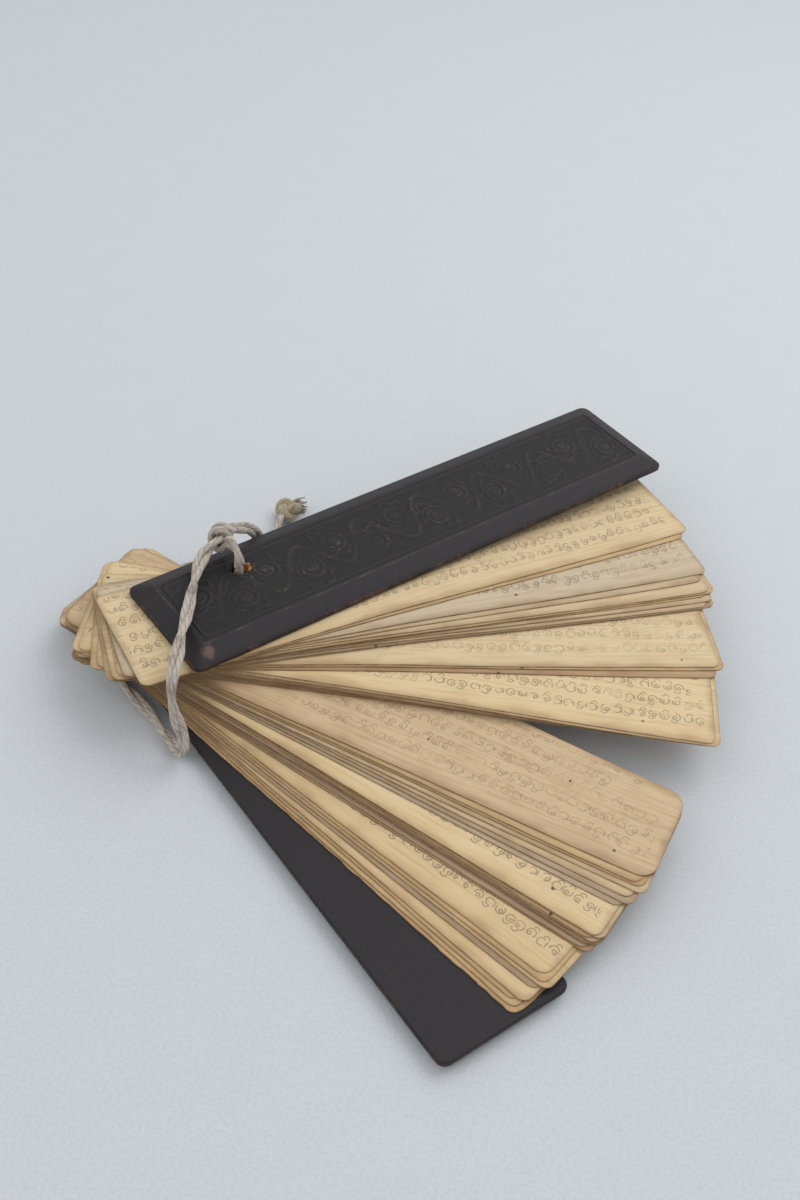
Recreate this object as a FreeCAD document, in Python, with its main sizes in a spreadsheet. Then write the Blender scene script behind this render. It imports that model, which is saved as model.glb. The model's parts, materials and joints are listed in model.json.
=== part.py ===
import FreeCAD, Part
import Sketcher

# Palm leaf manuscript, fanned out on a table.
# Two bevelled wooden covers and 46 palm leaves turn about one cotton cord that runs through a hole
# near their short ends. Millimetres, +Z up. X points along the length of the leaves that lie across
# the fan and Y points away from the reader. The origin is the middle of the flat outer face of the
# bottom cover, which rests on the table.

import math
import os

from FreeCAD import Placement, Rotation, Vector

os.makedirs("parts", exist_ok=True)
doc = FreeCAD.newDocument("PalmLeafManuscript")
Z_AXIS = Vector(0, 0, 1)
CORD_SIDES = 8
LEAF_HOLE_SIDES = 10
HITCH_STEP = 45

# Driving dimensions
sizes = doc.addObject("Spreadsheet::Sheet", "Sizes")
DIMENSIONS = {
    # wooden covers
    "cover_length": 226.0,
    "cover_width": 50.0,
    "cover_thickness": 5.6,
    "cover_rim": 2.2,
    "cover_bevel_run": 7.2,
    "cover_corner": 5.0,
    "cover_face_corner": 1.6,
    "cover_hole_diameter": 6.8,
    "cover_hole_wear": 1.0,
    "hole_to_short_end": 39.0,
    "hole_to_far_edge": 14.8,
    "border_inset": 2.2,
    "border_line_width": 0.9,
    "border_line_depth": 0.5,
    "top_cover_angle": 40.45,
    "bottom_cover_angle": -50.6,
    # palm leaves, measured from the cord hole
    "leaf_thickness": 0.38,
    "leaf_gap": 0.14,
    "leaf_long_reach": 181.5,
    "leaf_short_reach": 52.0,
    "leaf_near_reach": 37.5,
    "leaf_near_slope": 3.5,
    "leaf_short_end_width": 49.5,
    "leaf_long_end_width": 40.5,
    "leaf_corner_cut": 3.2,
    "leaf_hole_diameter": 6.6,
    "leaf_length_step": 0.9,
    "leaf_width_step": 0.35,
    # how far the loose stack leans between the two covers
    "stack_lean_right": 4.9,
    "stack_lean_back": 8.8,
    # cord
    "cord_diameter": 3.8,
    "cord_clearance": 0.3,
    "cord_table_gap": 0.15,
    "cord_exit_rise": 0.6,
    "hitch_gap": 0.25,
    "knot_length": 9.5,
    "knot_diameter": 8.6,
    "knot_table_gap": 0.05,
    "fray_length": 9.0,
    "fray_tip_diameter": 2.6,
}
# Bunches of leaves from the bottom of the stack to the top: angle of the lowest leaf, number of
# leaves and degrees from one leaf to the next above it.
BUNCHES = {
    "lowest_bunch": (-42.7, 4, 0.65),
    "second_bunch": (-38.3, 4, 0.5),
    "brown_packet": (-30.4, 9, 0.09),
    "grey_bunch": (-25.2, 3, 0.4),
    "broad_bunch": (-23.1, 4, 0.45),
    "middle_packet": (-0.8, 8, -0.17),
    "marked_bunch": (8.9, 3, 0.5),
    "upper_bunch": (19.5, 7, 0.37),
    "upper_pair": (23.4, 2, 1.1),
    "top_pair": (31.5, 2, 0.7),
}
for bunch, (first_angle, count, step) in BUNCHES.items():
    DIMENSIONS[f"{bunch}_angle"] = first_angle
    DIMENSIONS[f"{bunch}_count"] = count
    DIMENSIONS[f"{bunch}_step"] = step
for row, (alias, value) in enumerate(DIMENSIONS.items(), start=1):
    sizes.set(f"A{row}", alias)
    sizes.set(f"B{row}", str(value))
    sizes.setAlias(f"B{row}", alias)
doc.recompute()


def size(alias):
    """Value of one cell of the sheet, in millimetres or degrees."""
    return float(sizes.get(alias))


leaf_angles = []
for bunch in BUNCHES:
    for place_in_bunch in range(int(size(f"{bunch}_count"))):
        leaf_angles.append(size(f"{bunch}_angle") + place_in_bunch * size(f"{bunch}_step"))
leaf_count = len(leaf_angles)
leaf_pitch = size("leaf_thickness") + size("leaf_gap")
stack_base = size("cover_thickness")
stack_height = leaf_count * leaf_pitch + size("leaf_gap")
top_cover_base = stack_base + stack_height


def cover_axes(angle):
    """Unit vectors along a piece that lies at that angle and across it, away from the reader."""
    turn = Rotation(Z_AXIS, angle)
    return turn.multVec(Vector(1, 0, 0)), turn.multVec(Vector(0, 1, 0))


# The bottom cover's hole, seen from the middle of its footprint.
along, across = cover_axes(size("bottom_cover_angle"))
hole_place = along * (size("hole_to_short_end") - size("cover_length") / 2) + across * (
    size("cover_width") / 2 - size("hole_to_far_edge")
)
lean = Vector(size("stack_lean_right"), size("stack_lean_back"), 0)


def pivot_at(height):
    """Point of the cord's line in the leaning stack at a height over the table."""
    share = min(max((height - stack_base) / stack_height, 0.0), 1.0)
    return hole_place + lean * share + Vector(0, 0, height)


def plane_of(body, role):
    """Origin plane of a body, found by its role."""
    return next(item for item in body.Origin.OriginFeatures if item.Role == role)


def sketch_on(body, name, role="XY_Plane", height=None):
    """Empty sketch on an origin plane of its own body, raised by an expression if one is given."""
    sketch = body.newObject("Sketcher::SketchObject", name)
    sketch.AttachmentSupport = [(plane_of(body, role), "")]
    sketch.MapMode = "FlatFace"
    if height:
        sketch.setExpression("AttachmentOffset.Base.z", height)
    return sketch


def value_of(expression):
    """Value of an expression over the sheet, in millimetres."""
    return float(sizes.evalExpression(expression.replace("Sizes.", "")))


def bound(sketch, kind, *args):
    """Adds a dimension to a sketch and ties it to the expression that ends the arguments."""
    *references, expression = args
    index = sketch.addConstraint(Sketcher.Constraint(kind, *references, value_of(expression)))
    sketch.setExpression(f"Constraints[{index}]", expression)


def add_leaf_outline(sketch, left, right, near, widths):
    """Four lines round the sketch's origin: two upright ends joined by a near and a far edge.

    left and right are the reaches of the ends along X. near holds the reaches of the near edge at
    the left and at the right end, and widths the widths of those ends.
    """
    x1, x2 = -value_of(left), value_of(right)
    near_left, near_right = -value_of(near[0]), -value_of(near[1])
    corners = [
        Vector(x1, near_left, 0),
        Vector(x2, near_right, 0),
        Vector(x2, near_right + value_of(widths[1]), 0),
        Vector(x1, near_left + value_of(widths[0]), 0),
    ]
    for start, end in zip(corners, corners[1:] + corners[:1]):
        sketch.addGeometry(Part.LineSegment(start, end), False)
    for side in range(4):
        sketch.addConstraint(Sketcher.Constraint("Coincident", side, 2, (side + 1) % 4, 1))
    sketch.addConstraint(Sketcher.Constraint("Vertical", 1))
    sketch.addConstraint(Sketcher.Constraint("Vertical", 3))
    bound(sketch, "DistanceX", 0, 1, -1, 1, left)
    bound(sketch, "DistanceX", -1, 1, 0, 2, right)
    bound(sketch, "DistanceY", 0, 1, -1, 1, near[0])
    bound(sketch, "DistanceY", 0, 2, -1, 1, near[1])
    bound(sketch, "DistanceY", 0, 1, 3, 1, widths[0])
    bound(sketch, "DistanceY", 1, 1, 2, 1, widths[1])


def add_circle(sketch, diameter):
    """Circle round the sketch's origin."""
    index = sketch.addGeometry(Part.Circle(Vector(0, 0, 0), Z_AXIS, 2.0), False)
    sketch.addConstraint(Sketcher.Constraint("Coincident", index, 3, -1, 1))
    bound(sketch, "Diameter", index, diameter)


def add_pierced_hole(sketch, diameter):
    """Hole of equal short sides round the sketch's origin, its corners on a guide circle."""
    guide = sketch.addGeometry(Part.Circle(Vector(0, 0, 0), Z_AXIS, 2.0), True)
    sketch.addConstraint(Sketcher.Constraint("Coincident", guide, 3, -1, 1))
    bound(sketch, "Diameter", guide, diameter)
    radius = value_of(diameter) / 2
    step = math.tau / LEAF_HOLE_SIDES
    corners = [
        Vector(radius * math.cos(step * corner), radius * math.sin(step * corner), 0)
        for corner in range(LEAF_HOLE_SIDES)
    ]
    first = guide + 1
    for start, end in zip(corners, corners[1:] + corners[:1]):
        sketch.addGeometry(Part.LineSegment(start, end), False)
    for side in range(LEAF_HOLE_SIDES):
        following = first + (side + 1) % LEAF_HOLE_SIDES
        sketch.addConstraint(Sketcher.Constraint("Coincident", first + side, 2, following, 1))
        sketch.addConstraint(Sketcher.Constraint("PointOnObject", first + side, 1, guide))
    for side in range(1, LEAF_HOLE_SIDES):
        sketch.addConstraint(Sketcher.Constraint("Equal", first, first + side))
    sketch.addConstraint(Sketcher.Constraint("PointOnObject", first, 1, -1))


def upright_edges(shape, least_reach):
    """Names of the straight vertical edges that stand at least that far from the hole's axis."""
    names = []
    for number, edge in enumerate(shape.Edges, start=1):
        if not isinstance(edge.Curve, Part.Line):
            continue
        start, end = edge.Vertexes[0].Point, edge.Vertexes[-1].Point
        upright = abs(start.x - end.x) < 1e-6 and abs(start.y - end.y) < 1e-6
        if upright and math.hypot(start.x, start.y) > least_reach:
            names.append(f"Edge{number}")
    return names


def make_leaf(index, angle):
    """One palm leaf: a tapering strip with trimmed corners and a cord hole, turned about the cord."""
    name = f"leaf_{index + 1:02d}"
    body = doc.addObject("PartDesign::Body", name)
    body.Label = name
    outline = sketch_on(body, f"{name}_outline")
    shorter = f"Sizes.leaf_length_step * {index * 7 % 5}"
    narrower = f"Sizes.leaf_width_step * {index * 5 % 4}"
    near = f"Sizes.leaf_near_reach - {narrower}"
    add_leaf_outline(
        outline,
        f"Sizes.leaf_short_reach - {shorter}",
        f"Sizes.leaf_long_reach - {shorter}",
        (near, f"{near} + Sizes.leaf_near_slope"),
        (f"Sizes.leaf_short_end_width - {narrower}", f"Sizes.leaf_long_end_width - {narrower}"),
    )
    add_pierced_hole(outline, "Sizes.leaf_hole_diameter")
    strip = body.newObject("PartDesign::Pad", f"{name}_strip")
    strip.Profile = outline
    strip.setExpression("Length", "Sizes.leaf_thickness")
    doc.recompute()
    corners = body.newObject("PartDesign::Chamfer", f"{name}_corners")
    corners.Base = (strip, upright_edges(strip.Shape, size("leaf_hole_diameter")))
    corners.setExpression("Size", "Sizes.leaf_corner_cut")
    height = stack_base + size("leaf_gap") + index * leaf_pitch
    body.Placement = Placement(pivot_at(height), Rotation(Z_AXIS, angle))
    return body


def add_round_box(sketch, inset, corner):
    """Rounded rectangle of the cover's outline, drawn in by an inset, with the hole at the origin."""
    left = f"Sizes.hole_to_short_end - ({inset})"
    right = f"Sizes.cover_length - Sizes.hole_to_short_end - ({inset})"
    near = f"Sizes.cover_width - Sizes.hole_to_far_edge - ({inset})"
    far = f"Sizes.hole_to_far_edge - ({inset})"
    first = sketch.GeometryCount
    x1, x2, y1, y2 = -value_of(left), value_of(right), -value_of(near), value_of(far)
    radius = value_of(corner)
    a1, a2, b1, b2 = x1 + radius, x2 - radius, y1 + radius, y2 - radius
    for u1, v1, u2, v2 in [(a1, y1, a2, y1), (x2, b1, x2, b2), (a2, y2, a1, y2), (x1, b2, x1, b1)]:
        sketch.addGeometry(Part.LineSegment(Vector(u1, v1, 0), Vector(u2, v2, 0)), False)
    for u, v, start in [(a2, b1, -90), (a2, b2, 0), (a1, b2, 90), (a1, b1, 180)]:
        circle = Part.Circle(Vector(u, v, 0), Z_AXIS, radius)
        arc = Part.ArcOfCircle(circle, math.radians(start), math.radians(start + 90))
        sketch.addGeometry(arc, False)
    for side in range(4):
        line, arc, following = first + side, first + 4 + side, first + (side + 1) % 4
        sketch.addConstraint(Sketcher.Constraint("Tangent", line, 2, arc, 1))
        sketch.addConstraint(Sketcher.Constraint("Tangent", arc, 2, following, 1))
    for side, direction in enumerate(["Horizontal", "Vertical", "Horizontal", "Vertical"]):
        sketch.addConstraint(Sketcher.Constraint(direction, first + side))
    for side in range(1, 4):
        sketch.addConstraint(Sketcher.Constraint("Equal", first + 4, first + 4 + side))
    bound(sketch, "Radius", first + 4, corner)
    bound(sketch, "DistanceX", first + 3, 1, -1, 1, left)
    bound(sketch, "DistanceX", -1, 1, first + 1, 1, right)
    bound(sketch, "DistanceY", first, 1, -1, 1, near)
    bound(sketch, "DistanceY", -1, 1, first + 2, 1, far)


def add_sharp_box(sketch, inset):
    """Rectangle of the cover's outline drawn in by an inset, with the hole at the origin."""
    left = f"Sizes.hole_to_short_end - ({inset})"
    right = f"Sizes.cover_length - Sizes.hole_to_short_end - ({inset})"
    near = f"Sizes.cover_width - Sizes.hole_to_far_edge - ({inset})"
    far = f"Sizes.hole_to_far_edge - ({inset})"
    first = sketch.GeometryCount
    x1, x2, y1, y2 = -value_of(left), value_of(right), -value_of(near), value_of(far)
    corners = [Vector(x1, y1, 0), Vector(x2, y1, 0), Vector(x2, y2, 0), Vector(x1, y2, 0)]
    for start, end in zip(corners, corners[1:] + corners[:1]):
        sketch.addGeometry(Part.LineSegment(start, end), False)
    for side, direction in enumerate(["Horizontal", "Vertical", "Horizontal", "Vertical"]):
        line, following = first + side, first + (side + 1) % 4
        sketch.addConstraint(Sketcher.Constraint("Coincident", line, 2, following, 1))
        sketch.addConstraint(Sketcher.Constraint(direction, line))
    bound(sketch, "DistanceX", first, 1, -1, 1, left)
    bound(sketch, "DistanceX", -1, 1, first, 2, right)
    bound(sketch, "DistanceY", first, 1, -1, 1, near)
    bound(sketch, "DistanceY", -1, 1, first + 2, 1, far)


def make_cover(name, outer_face_up):
    """Wooden cover in its own frame, hole at the origin, inner face and bevelled outer face."""
    body = doc.addObject("PartDesign::Body", name)
    body.Label = name
    rim_start = "0" if outer_face_up else "Sizes.cover_thickness - Sizes.cover_rim"
    bevel_start = "Sizes.cover_rim" if outer_face_up else rim_start
    face_height = "Sizes.cover_thickness" if outer_face_up else "0"

    rim_outline = sketch_on(body, f"{name}_rim_outline", height=rim_start)
    add_round_box(rim_outline, "0", "Sizes.cover_corner")
    rim = body.newObject("PartDesign::Pad", f"{name}_rim")
    rim.Profile = rim_outline
    rim.setExpression("Length", "Sizes.cover_rim")

    bevel_outline = sketch_on(body, f"{name}_bevel_outline", height=bevel_start)
    add_round_box(bevel_outline, "0", "Sizes.cover_corner")
    face_outline = sketch_on(body, f"{name}_face_outline", height=face_height)
    add_round_box(face_outline, "Sizes.cover_bevel_run", "Sizes.cover_face_corner")
    doc.recompute()
    bevel = body.newObject("PartDesign::AdditiveLoft", f"{name}_bevel")
    bevel.Profile = bevel_outline
    bevel.Sections = [face_outline]
    bevel.Ruled = True
    doc.recompute()
    plain_volume = body.Shape.Volume

    hole_outline = sketch_on(body, f"{name}_hole_outline")
    add_circle(hole_outline, "Sizes.cover_hole_diameter")
    hole = body.newObject("PartDesign::Pocket", f"{name}_hole")
    hole.Profile = hole_outline
    hole.Type = "ThroughAll"
    hole.Reversed = True
    doc.recompute()
    hole_area = math.pi * (size("cover_hole_diameter") / 2) ** 2
    check_cut(name + " hole", plain_volume - body.Shape.Volume, hole_area * size("cover_thickness"))

    level = size("cover_thickness") if outer_face_up else 0.0
    mouth = next(
        f"Edge{number}"
        for number, edge in enumerate(hole.Shape.Edges, start=1)
        if isinstance(edge.Curve, Part.Circle)
        and abs(edge.Curve.Center.z - level) < 1e-6
        and abs(edge.Curve.Radius - size("cover_hole_diameter") / 2) < 1e-6
    )
    worn_mouth = body.newObject("PartDesign::Chamfer", f"{name}_worn_mouth")
    worn_mouth.Base = (hole, [mouth])
    worn_mouth.setExpression("Size", "Sizes.cover_hole_wear")
    doc.recompute()

    # The carved line that frames the outer face.
    line_outline = sketch_on(body, f"{name}_border_outline", height=face_height)
    outer_inset = "Sizes.cover_bevel_run + Sizes.border_inset"
    add_sharp_box(line_outline, outer_inset)
    add_sharp_box(line_outline, f"{outer_inset} - Sizes.border_line_width")
    before = body.Shape.Volume
    line = body.newObject("PartDesign::Pocket", f"{name}_border_line")
    line.Profile = line_outline
    line.setExpression("Length", "Sizes.border_line_depth")
    line.Reversed = not outer_face_up
    doc.recompute()
    inset = size("cover_bevel_run") + size("border_inset")
    around = 2 * (size("cover_length") + size("cover_width") - 4 * inset)
    section = size("border_line_width") * size("border_line_depth")
    check_cut(name + " border line", before - body.Shape.Volume, around * section)
    return body


def check_cut(what, removed, expected):
    """Stops when a cut took away much more or less than it should."""
    print(f"{what}: cut {removed:.1f} of about {expected:.1f} cubic millimetres")
    if not 0.8 * expected < removed < 1.2 * expected:
        raise RuntimeError(f"{what} didn't cut as expected")


def rounded_path(points, largest_arc_share=0.45):
    """Straight runs joined by tangent arcs, each as large as its two runs allow.

    Returns the wire, its radii and its length. Every arc starts at the same share of the shorter of
    the two runs beside its point.
    """
    edges, radii = [], []
    place = points[0]
    for before, corner, after in zip(points, points[1:], points[2:]):
        arriving = (corner - before).normalize()
        leaving = (after - corner).normalize()
        turn = arriving.getAngle(leaving)
        reach = largest_arc_share * min((corner - before).Length, (after - corner).Length)
        radius = reach / math.tan(turn / 2)
        start, end = corner - arriving * reach, corner + leaving * reach
        inward = (leaving - arriving).normalize()
        centre_distance = math.hypot(radius, reach)
        middle = corner + inward * (centre_distance - radius)
        edges.append(Part.LineSegment(place, start).toShape())
        edges.append(Part.Arc(start, middle, end).toShape())
        radii.append(radius)
        place = end
    edges.append(Part.LineSegment(place, points[-1]).toShape())
    wire = Part.Wire(edges)
    return wire, radii, sum(edge.Length for edge in edges)


def cord_section(centre, direction, diameter):
    """Eight-sided section whose corners lie on the cord's round outline, and its area."""
    turn = Rotation(Z_AXIS, direction)
    radius = diameter / 2
    step = math.tau / CORD_SIDES
    corners = []
    for side in range(CORD_SIDES + 1):
        angle = step * (side + 0.5)
        corners.append(centre + turn.multVec(Vector(math.cos(angle), math.sin(angle), 0) * radius))
    corners[-1] = corners[0]
    return Part.makePolygon(corners), CORD_SIDES / 2 * radius**2 * math.sin(step)


def tube_along(points, diameter, what):
    """Tube along a path of straight runs and arcs, with its radii and volume printed."""
    wire, radii, length = rounded_path(points)
    section, area = cord_section(points[0], points[1] - points[0], diameter)
    tube = wire.makePipeShell([section], True, False)
    expected = area * length
    print(
        f"{what}: length {length:.1f}, radii "
        + " ".join(f"{radius:.1f}" for radius in radii)
        + f", volume {tube.Volume:.1f} for {expected:.1f}"
    )
    if abs(tube.Volume - expected) > 0.02 * expected:
        raise RuntimeError(f"{what} has the wrong volume")
    return tube


def add_solid(name, shape, placement=None):
    """Feature that holds a solid made by code."""
    feature = doc.addObject("Part::Feature", name)
    feature.Label = name
    feature.Shape = shape
    if placement:
        feature.Placement = placement
    return feature


def from_hole(points):
    """Points measured from the bottom cover's hole at table height, moved to the part's frame."""
    return [hole_place + Vector(*point) for point in points]


def beside_hole(ahead, aside, height):
    """Point beside the bottom cover's hole: towards its long end, its far edge and upwards."""
    return hole_place + along * ahead + across * aside + Vector(0, 0, height)


# The covers
bottom_cover_body = make_cover("bottom_cover_board", outer_face_up=False)
bottom_cover_body.Placement = Placement(hole_place, Rotation(Z_AXIS, size("bottom_cover_angle")))
top_cover = make_cover("top_cover", outer_face_up=True)
top_cover.Placement = Placement(pivot_at(top_cover_base), Rotation(Z_AXIS, size("top_cover_angle")))

# The leaves
leaves = [make_leaf(index, angle) for index, angle in enumerate(leaf_angles)]

# The cord inside the book: through a worn channel in the bottom cover's outer face, up the leaning
# stack and out of the top cover's hole.
cord = size("cord_diameter")
cord_on_table = cord / 2 + size("cord_table_gap")
exit_height = size("cover_thickness") + size("cord_exit_rise")
top_mouth = pivot_at(top_cover_base) + Vector(0, 0, exit_height)
core_points = [
    beside_hole(0.0, 8.2, cord_on_table),
    beside_hole(0.0, 4.4, cord_on_table),
    beside_hole(0.0, 1.0, 4.6),
    beside_hole(-0.3, 0.7, 8.6),
    pivot_at(top_cover_base) - Vector(0, 0, 1.4),
    top_mouth,
]
cord_core = add_solid("cord_core", tube_along(core_points, cord, "cord_core"))
channel_start = beside_hole(0.0, size("hole_to_far_edge") + cord, cord_on_table)
channel_points = [channel_start, *core_points[1:4]]
channel_width = cord + 2 * size("cord_clearance")
cord_channel = add_solid("cord_channel", tube_along(channel_points, channel_width, "cord_channel"))
bottom_cover = doc.addObject("Part::Cut", "bottom_cover")
bottom_cover.Label = "bottom_cover"
bottom_cover.Base = bottom_cover_body
bottom_cover.Tool = cord_channel

# The strand that comes out of the top cover's hole and hitches itself round the main strand.
hitch_centre = Vector(-4.8, 19.8, 41.7)
main_direction = Vector(0.42, 0.91, 0).normalize()
hitch_side = main_direction.cross(Z_AXIS)
hitch_reach = (cord + size("hitch_gap")) / math.cos(math.radians(HITCH_STEP / 2))


def hitch_point(degrees, shift):
    """Corner of the hitch round the main strand, at an angle from the side of the hole."""
    turn = math.radians(degrees)
    return (
        hitch_centre
        + hitch_side * (hitch_reach * math.cos(turn))
        + Z_AXIS * (hitch_reach * math.sin(turn))
        + main_direction * shift
    )


hole_top = top_mouth - hole_place
exit_points = [
    hole_top,
    hole_top + Vector(0, 0, 4.2),
    Vector(2.7, 11.3, 43.0),
    Vector(-0.3, 15.0, 42.2),
]
hitch_shifts = [-2.4, -2.0, -1.4, -0.6, 0.2, 1.0, 1.6]
hitch_points = [
    hitch_point(-HITCH_STEP * (corner + 1.5), shift) for corner, shift in enumerate(hitch_shifts)
]
top_strand_points = from_hole(exit_points + hitch_points)
cord_top_strand = add_solid(
    "cord_top_strand", tube_along(top_strand_points, cord, "cord_top_strand")
)

# The main strand: out of the channel, round the bottom cover's short end on the table, a tight bend
# at the near edge, up and over the top cover, through the hitch and down behind it to the knot.
round_short_end = [
    (0.25, 15.6),
    (0.0, 22.6),
    (-3.2, 28.6),
    (-9.0, 33.0),
    (-17.5, 34.8),
    (-26.5, 33.0),
    (-34.5, 28.0),
    (-41.0, 21.0),
    (-45.5, 11.5),
    (-47.8, 0.0),
    (-48.2, -11.5),
]
table_points = [
    (-50.0, 22.5),
    (-55.8, 13.0),
    (-57.0, 3.0),
    (-51.5, -6.0),
    (-43.0, -14.5),
    (-34.0, -24.5),
    (-25.5, -34.5),
    (-17.5, -43.5),
    (-10.5, -53.0),
]
rising_points = [
    (-5.5, -60.6, 4.2),
    (-3.2, -60.8, 11.0),
    (-5.4, -60.0, 19.0),
    (-7.8, -59.4, 26.5),
    (-8.6, -56.0, 33.5),
    (-8.4, -48.0, 38.4),
    (-8.6, -36.0, 38.6),
    (-8.9, -20.0, 37.7),
    (-9.6, -4.0, 37.7),
    (-9.2, 7.0, 39.4),
]
knot_radius = size("knot_diameter") / 2
knot_height = knot_radius + size("knot_table_gap")
falling_points = [
    (4.2, 32.0, 39.6),
    (8.6, 38.0, 33.0),
    (9.6, 42.5, 23.5),
    (10.2, 50.0, 13.5),
    (11.0, 60.5, 7.2),
    (12.0, 71.0, knot_height),
    (13.3, 79.0, knot_height),
]
main_points = [core_points[0]]
main_points += [beside_hole(ahead, aside, cord_on_table) for ahead, aside in round_short_end]
main_points += from_hole([(x, y, cord_on_table) for x, y in table_points])
main_points += from_hole(rising_points)
main_points += from_hole([hitch_centre - main_direction * 6.5, hitch_centre + main_direction * 5.5])
main_points += from_hole(falling_points)
cord_main_strand = add_solid("cord_main_strand", tube_along(main_points, cord, "cord_main_strand"))

# The knot and the frayed end behind the top cover, each turned about the cord's line
tail_direction = (main_points[-1] - main_points[-2]).normalize()
tail_turn = Rotation(Vector(0, 0, 1), tail_direction)


def turned_body(name, outline):
    """Body turned about its own Z axis from pairs of radius and height, given as expressions."""
    body = doc.addObject("PartDesign::Body", name)
    body.Label = name
    sketch = sketch_on(body, f"{name}_profile", role="XZ_Plane")
    corners = [Vector(value_of(radius), value_of(height), 0) for radius, height in outline]
    total = len(corners)
    for start, end in zip(corners, corners[1:] + corners[:1]):
        sketch.addGeometry(Part.LineSegment(start, end), False)
    for side in range(total):
        sketch.addConstraint(Sketcher.Constraint("Coincident", side, 2, (side + 1) % total, 1))
    sketch.addConstraint(Sketcher.Constraint("Coincident", 0, 1, -1, 1))
    sketch.addConstraint(Sketcher.Constraint("Horizontal", 0))
    sketch.addConstraint(Sketcher.Constraint("Horizontal", total - 2))
    sketch.addConstraint(Sketcher.Constraint("Vertical", total - 1))
    bound(sketch, "DistanceX", -1, 1, 1, 1, outline[1][0])
    bound(sketch, "DistanceX", -1, 1, total - 2, 1, outline[-2][0])
    bound(sketch, "DistanceY", -1, 1, total - 1, 1, outline[-1][1])
    for side in range(2, total - 2):
        radius, height = outline[side]
        bound(sketch, "DistanceX", -1, 1, side, 1, radius)
        bound(sketch, "DistanceY", -1, 1, side, 1, height)
    turned = body.newObject("PartDesign::Revolution", f"{name}_turned")
    turned.Profile = sketch
    turned.ReferenceAxis = (sketch, ["V_Axis"])
    turned.Angle = 360
    return body


cord_knot = turned_body(
    "cord_knot",
    [
        ("0", "0"),
        ("Sizes.cord_diameter / 2", "0"),
        ("Sizes.knot_diameter / 2", "Sizes.knot_length * 0.3"),
        ("Sizes.knot_diameter / 2", "Sizes.knot_length * 0.7"),
        ("Sizes.cord_diameter / 2", "Sizes.knot_length"),
        ("0", "Sizes.knot_length"),
    ],
)
cord_knot.Placement = Placement(main_points[-1], tail_turn)

knot_end = main_points[-1] + tail_direction * size("knot_length")
fray_tip = knot_end + tail_direction * size("fray_length")
fray_sections = [
    cord_section(knot_end, tail_direction, cord)[0],
    cord_section(fray_tip, tail_direction, size("fray_tip_diameter"))[0],
]
cord_frayed_end = add_solid("cord_frayed_end", Part.makeLoft(fray_sections, True, True))

# Every piece is checked before any file is written
pieces = [bottom_cover, top_cover, *leaves, cord_core, cord_top_strand, cord_main_strand]
pieces += [cord_knot, cord_frayed_end]
doc.recompute()
for item in doc.Objects:
    if any(mark in item.State for mark in ("Invalid", "Error")):
        raise RuntimeError(f"{item.Name} could not be made")
for piece in pieces:
    if piece.Shape.isNull() or not piece.Shape.isValid() or len(piece.Shape.Solids) != 1:
        raise RuntimeError(f"{piece.Label} is not one sound solid")
for piece in pieces:
    piece.Shape.exportStep(os.path.join("parts", f"{piece.Label}.step"))
print(f"{len(pieces)} pieces, stack from {stack_base:.2f} to {top_cover_base:.2f} mm")
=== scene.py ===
import json
import logging
import math
import random
from collections.abc import Callable
from dataclasses import dataclass, field
from enum import Enum
from itertools import accumulate

import bmesh
import bpy
from mathutils import Matrix, Vector, noise


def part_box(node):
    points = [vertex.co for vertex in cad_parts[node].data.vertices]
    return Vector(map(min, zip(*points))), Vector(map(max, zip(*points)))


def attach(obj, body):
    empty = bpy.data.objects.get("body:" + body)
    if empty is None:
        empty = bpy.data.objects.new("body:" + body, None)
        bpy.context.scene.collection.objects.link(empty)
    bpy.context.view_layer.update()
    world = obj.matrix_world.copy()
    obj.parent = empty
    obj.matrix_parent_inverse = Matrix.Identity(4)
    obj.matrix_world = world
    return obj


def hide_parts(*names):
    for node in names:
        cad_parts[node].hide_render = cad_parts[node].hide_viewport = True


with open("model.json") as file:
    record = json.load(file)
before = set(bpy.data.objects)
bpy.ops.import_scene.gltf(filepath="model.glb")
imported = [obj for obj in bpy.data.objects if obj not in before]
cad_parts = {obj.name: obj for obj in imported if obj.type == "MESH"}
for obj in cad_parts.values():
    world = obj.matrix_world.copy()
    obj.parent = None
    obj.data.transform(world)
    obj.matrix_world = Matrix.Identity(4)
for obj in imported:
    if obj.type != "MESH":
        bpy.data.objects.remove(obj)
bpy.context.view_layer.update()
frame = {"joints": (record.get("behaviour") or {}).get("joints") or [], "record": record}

# A palm leaf manuscript fanned out on a table: two dark carved covers, loose inscribed leaves and
# one cotton cord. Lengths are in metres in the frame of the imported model, unless a name ends in _mm
# or a docstring names millimetres.

MM = 0.001
COVER_MM = 5.6
BOTTOM_DEGREES = -50.6
UP = Vector((0.0, 0.0, 1.0))
HINGES = {joint["child"]: joint for joint in frame["joints"]}
ROOT_BODY = "bottom_cover_and_cord"
PLAN_MAP = "plan"
PLAN_UNIT = 100.0
EDGE_MM = "edge_mm"
NEAR_MM = "near_mm"
LEAF_SEED = "leaf_seed"
LEAF_TONE = "leaf_tone"
LEAF_GREY = "leaf_grey"
LEAF_INK = "leaf_ink"
RELIEF = "relief"
Colour = tuple[float, float, float, float]
Triple = tuple[float, float, float]
Plans = dict[bmesh.types.BMVert, tuple[float, float]]
log = logging.getLogger("palm_leaf_manuscript")


def smoothstep(low: float, high: float, value: float) -> float:
    """Returns 0 below low, 1 above high and a smooth step between them."""
    share = min(max((value - low) / (high - low), 0.0), 1.0)
    return share * share * (3.0 - 2.0 * share)


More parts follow.
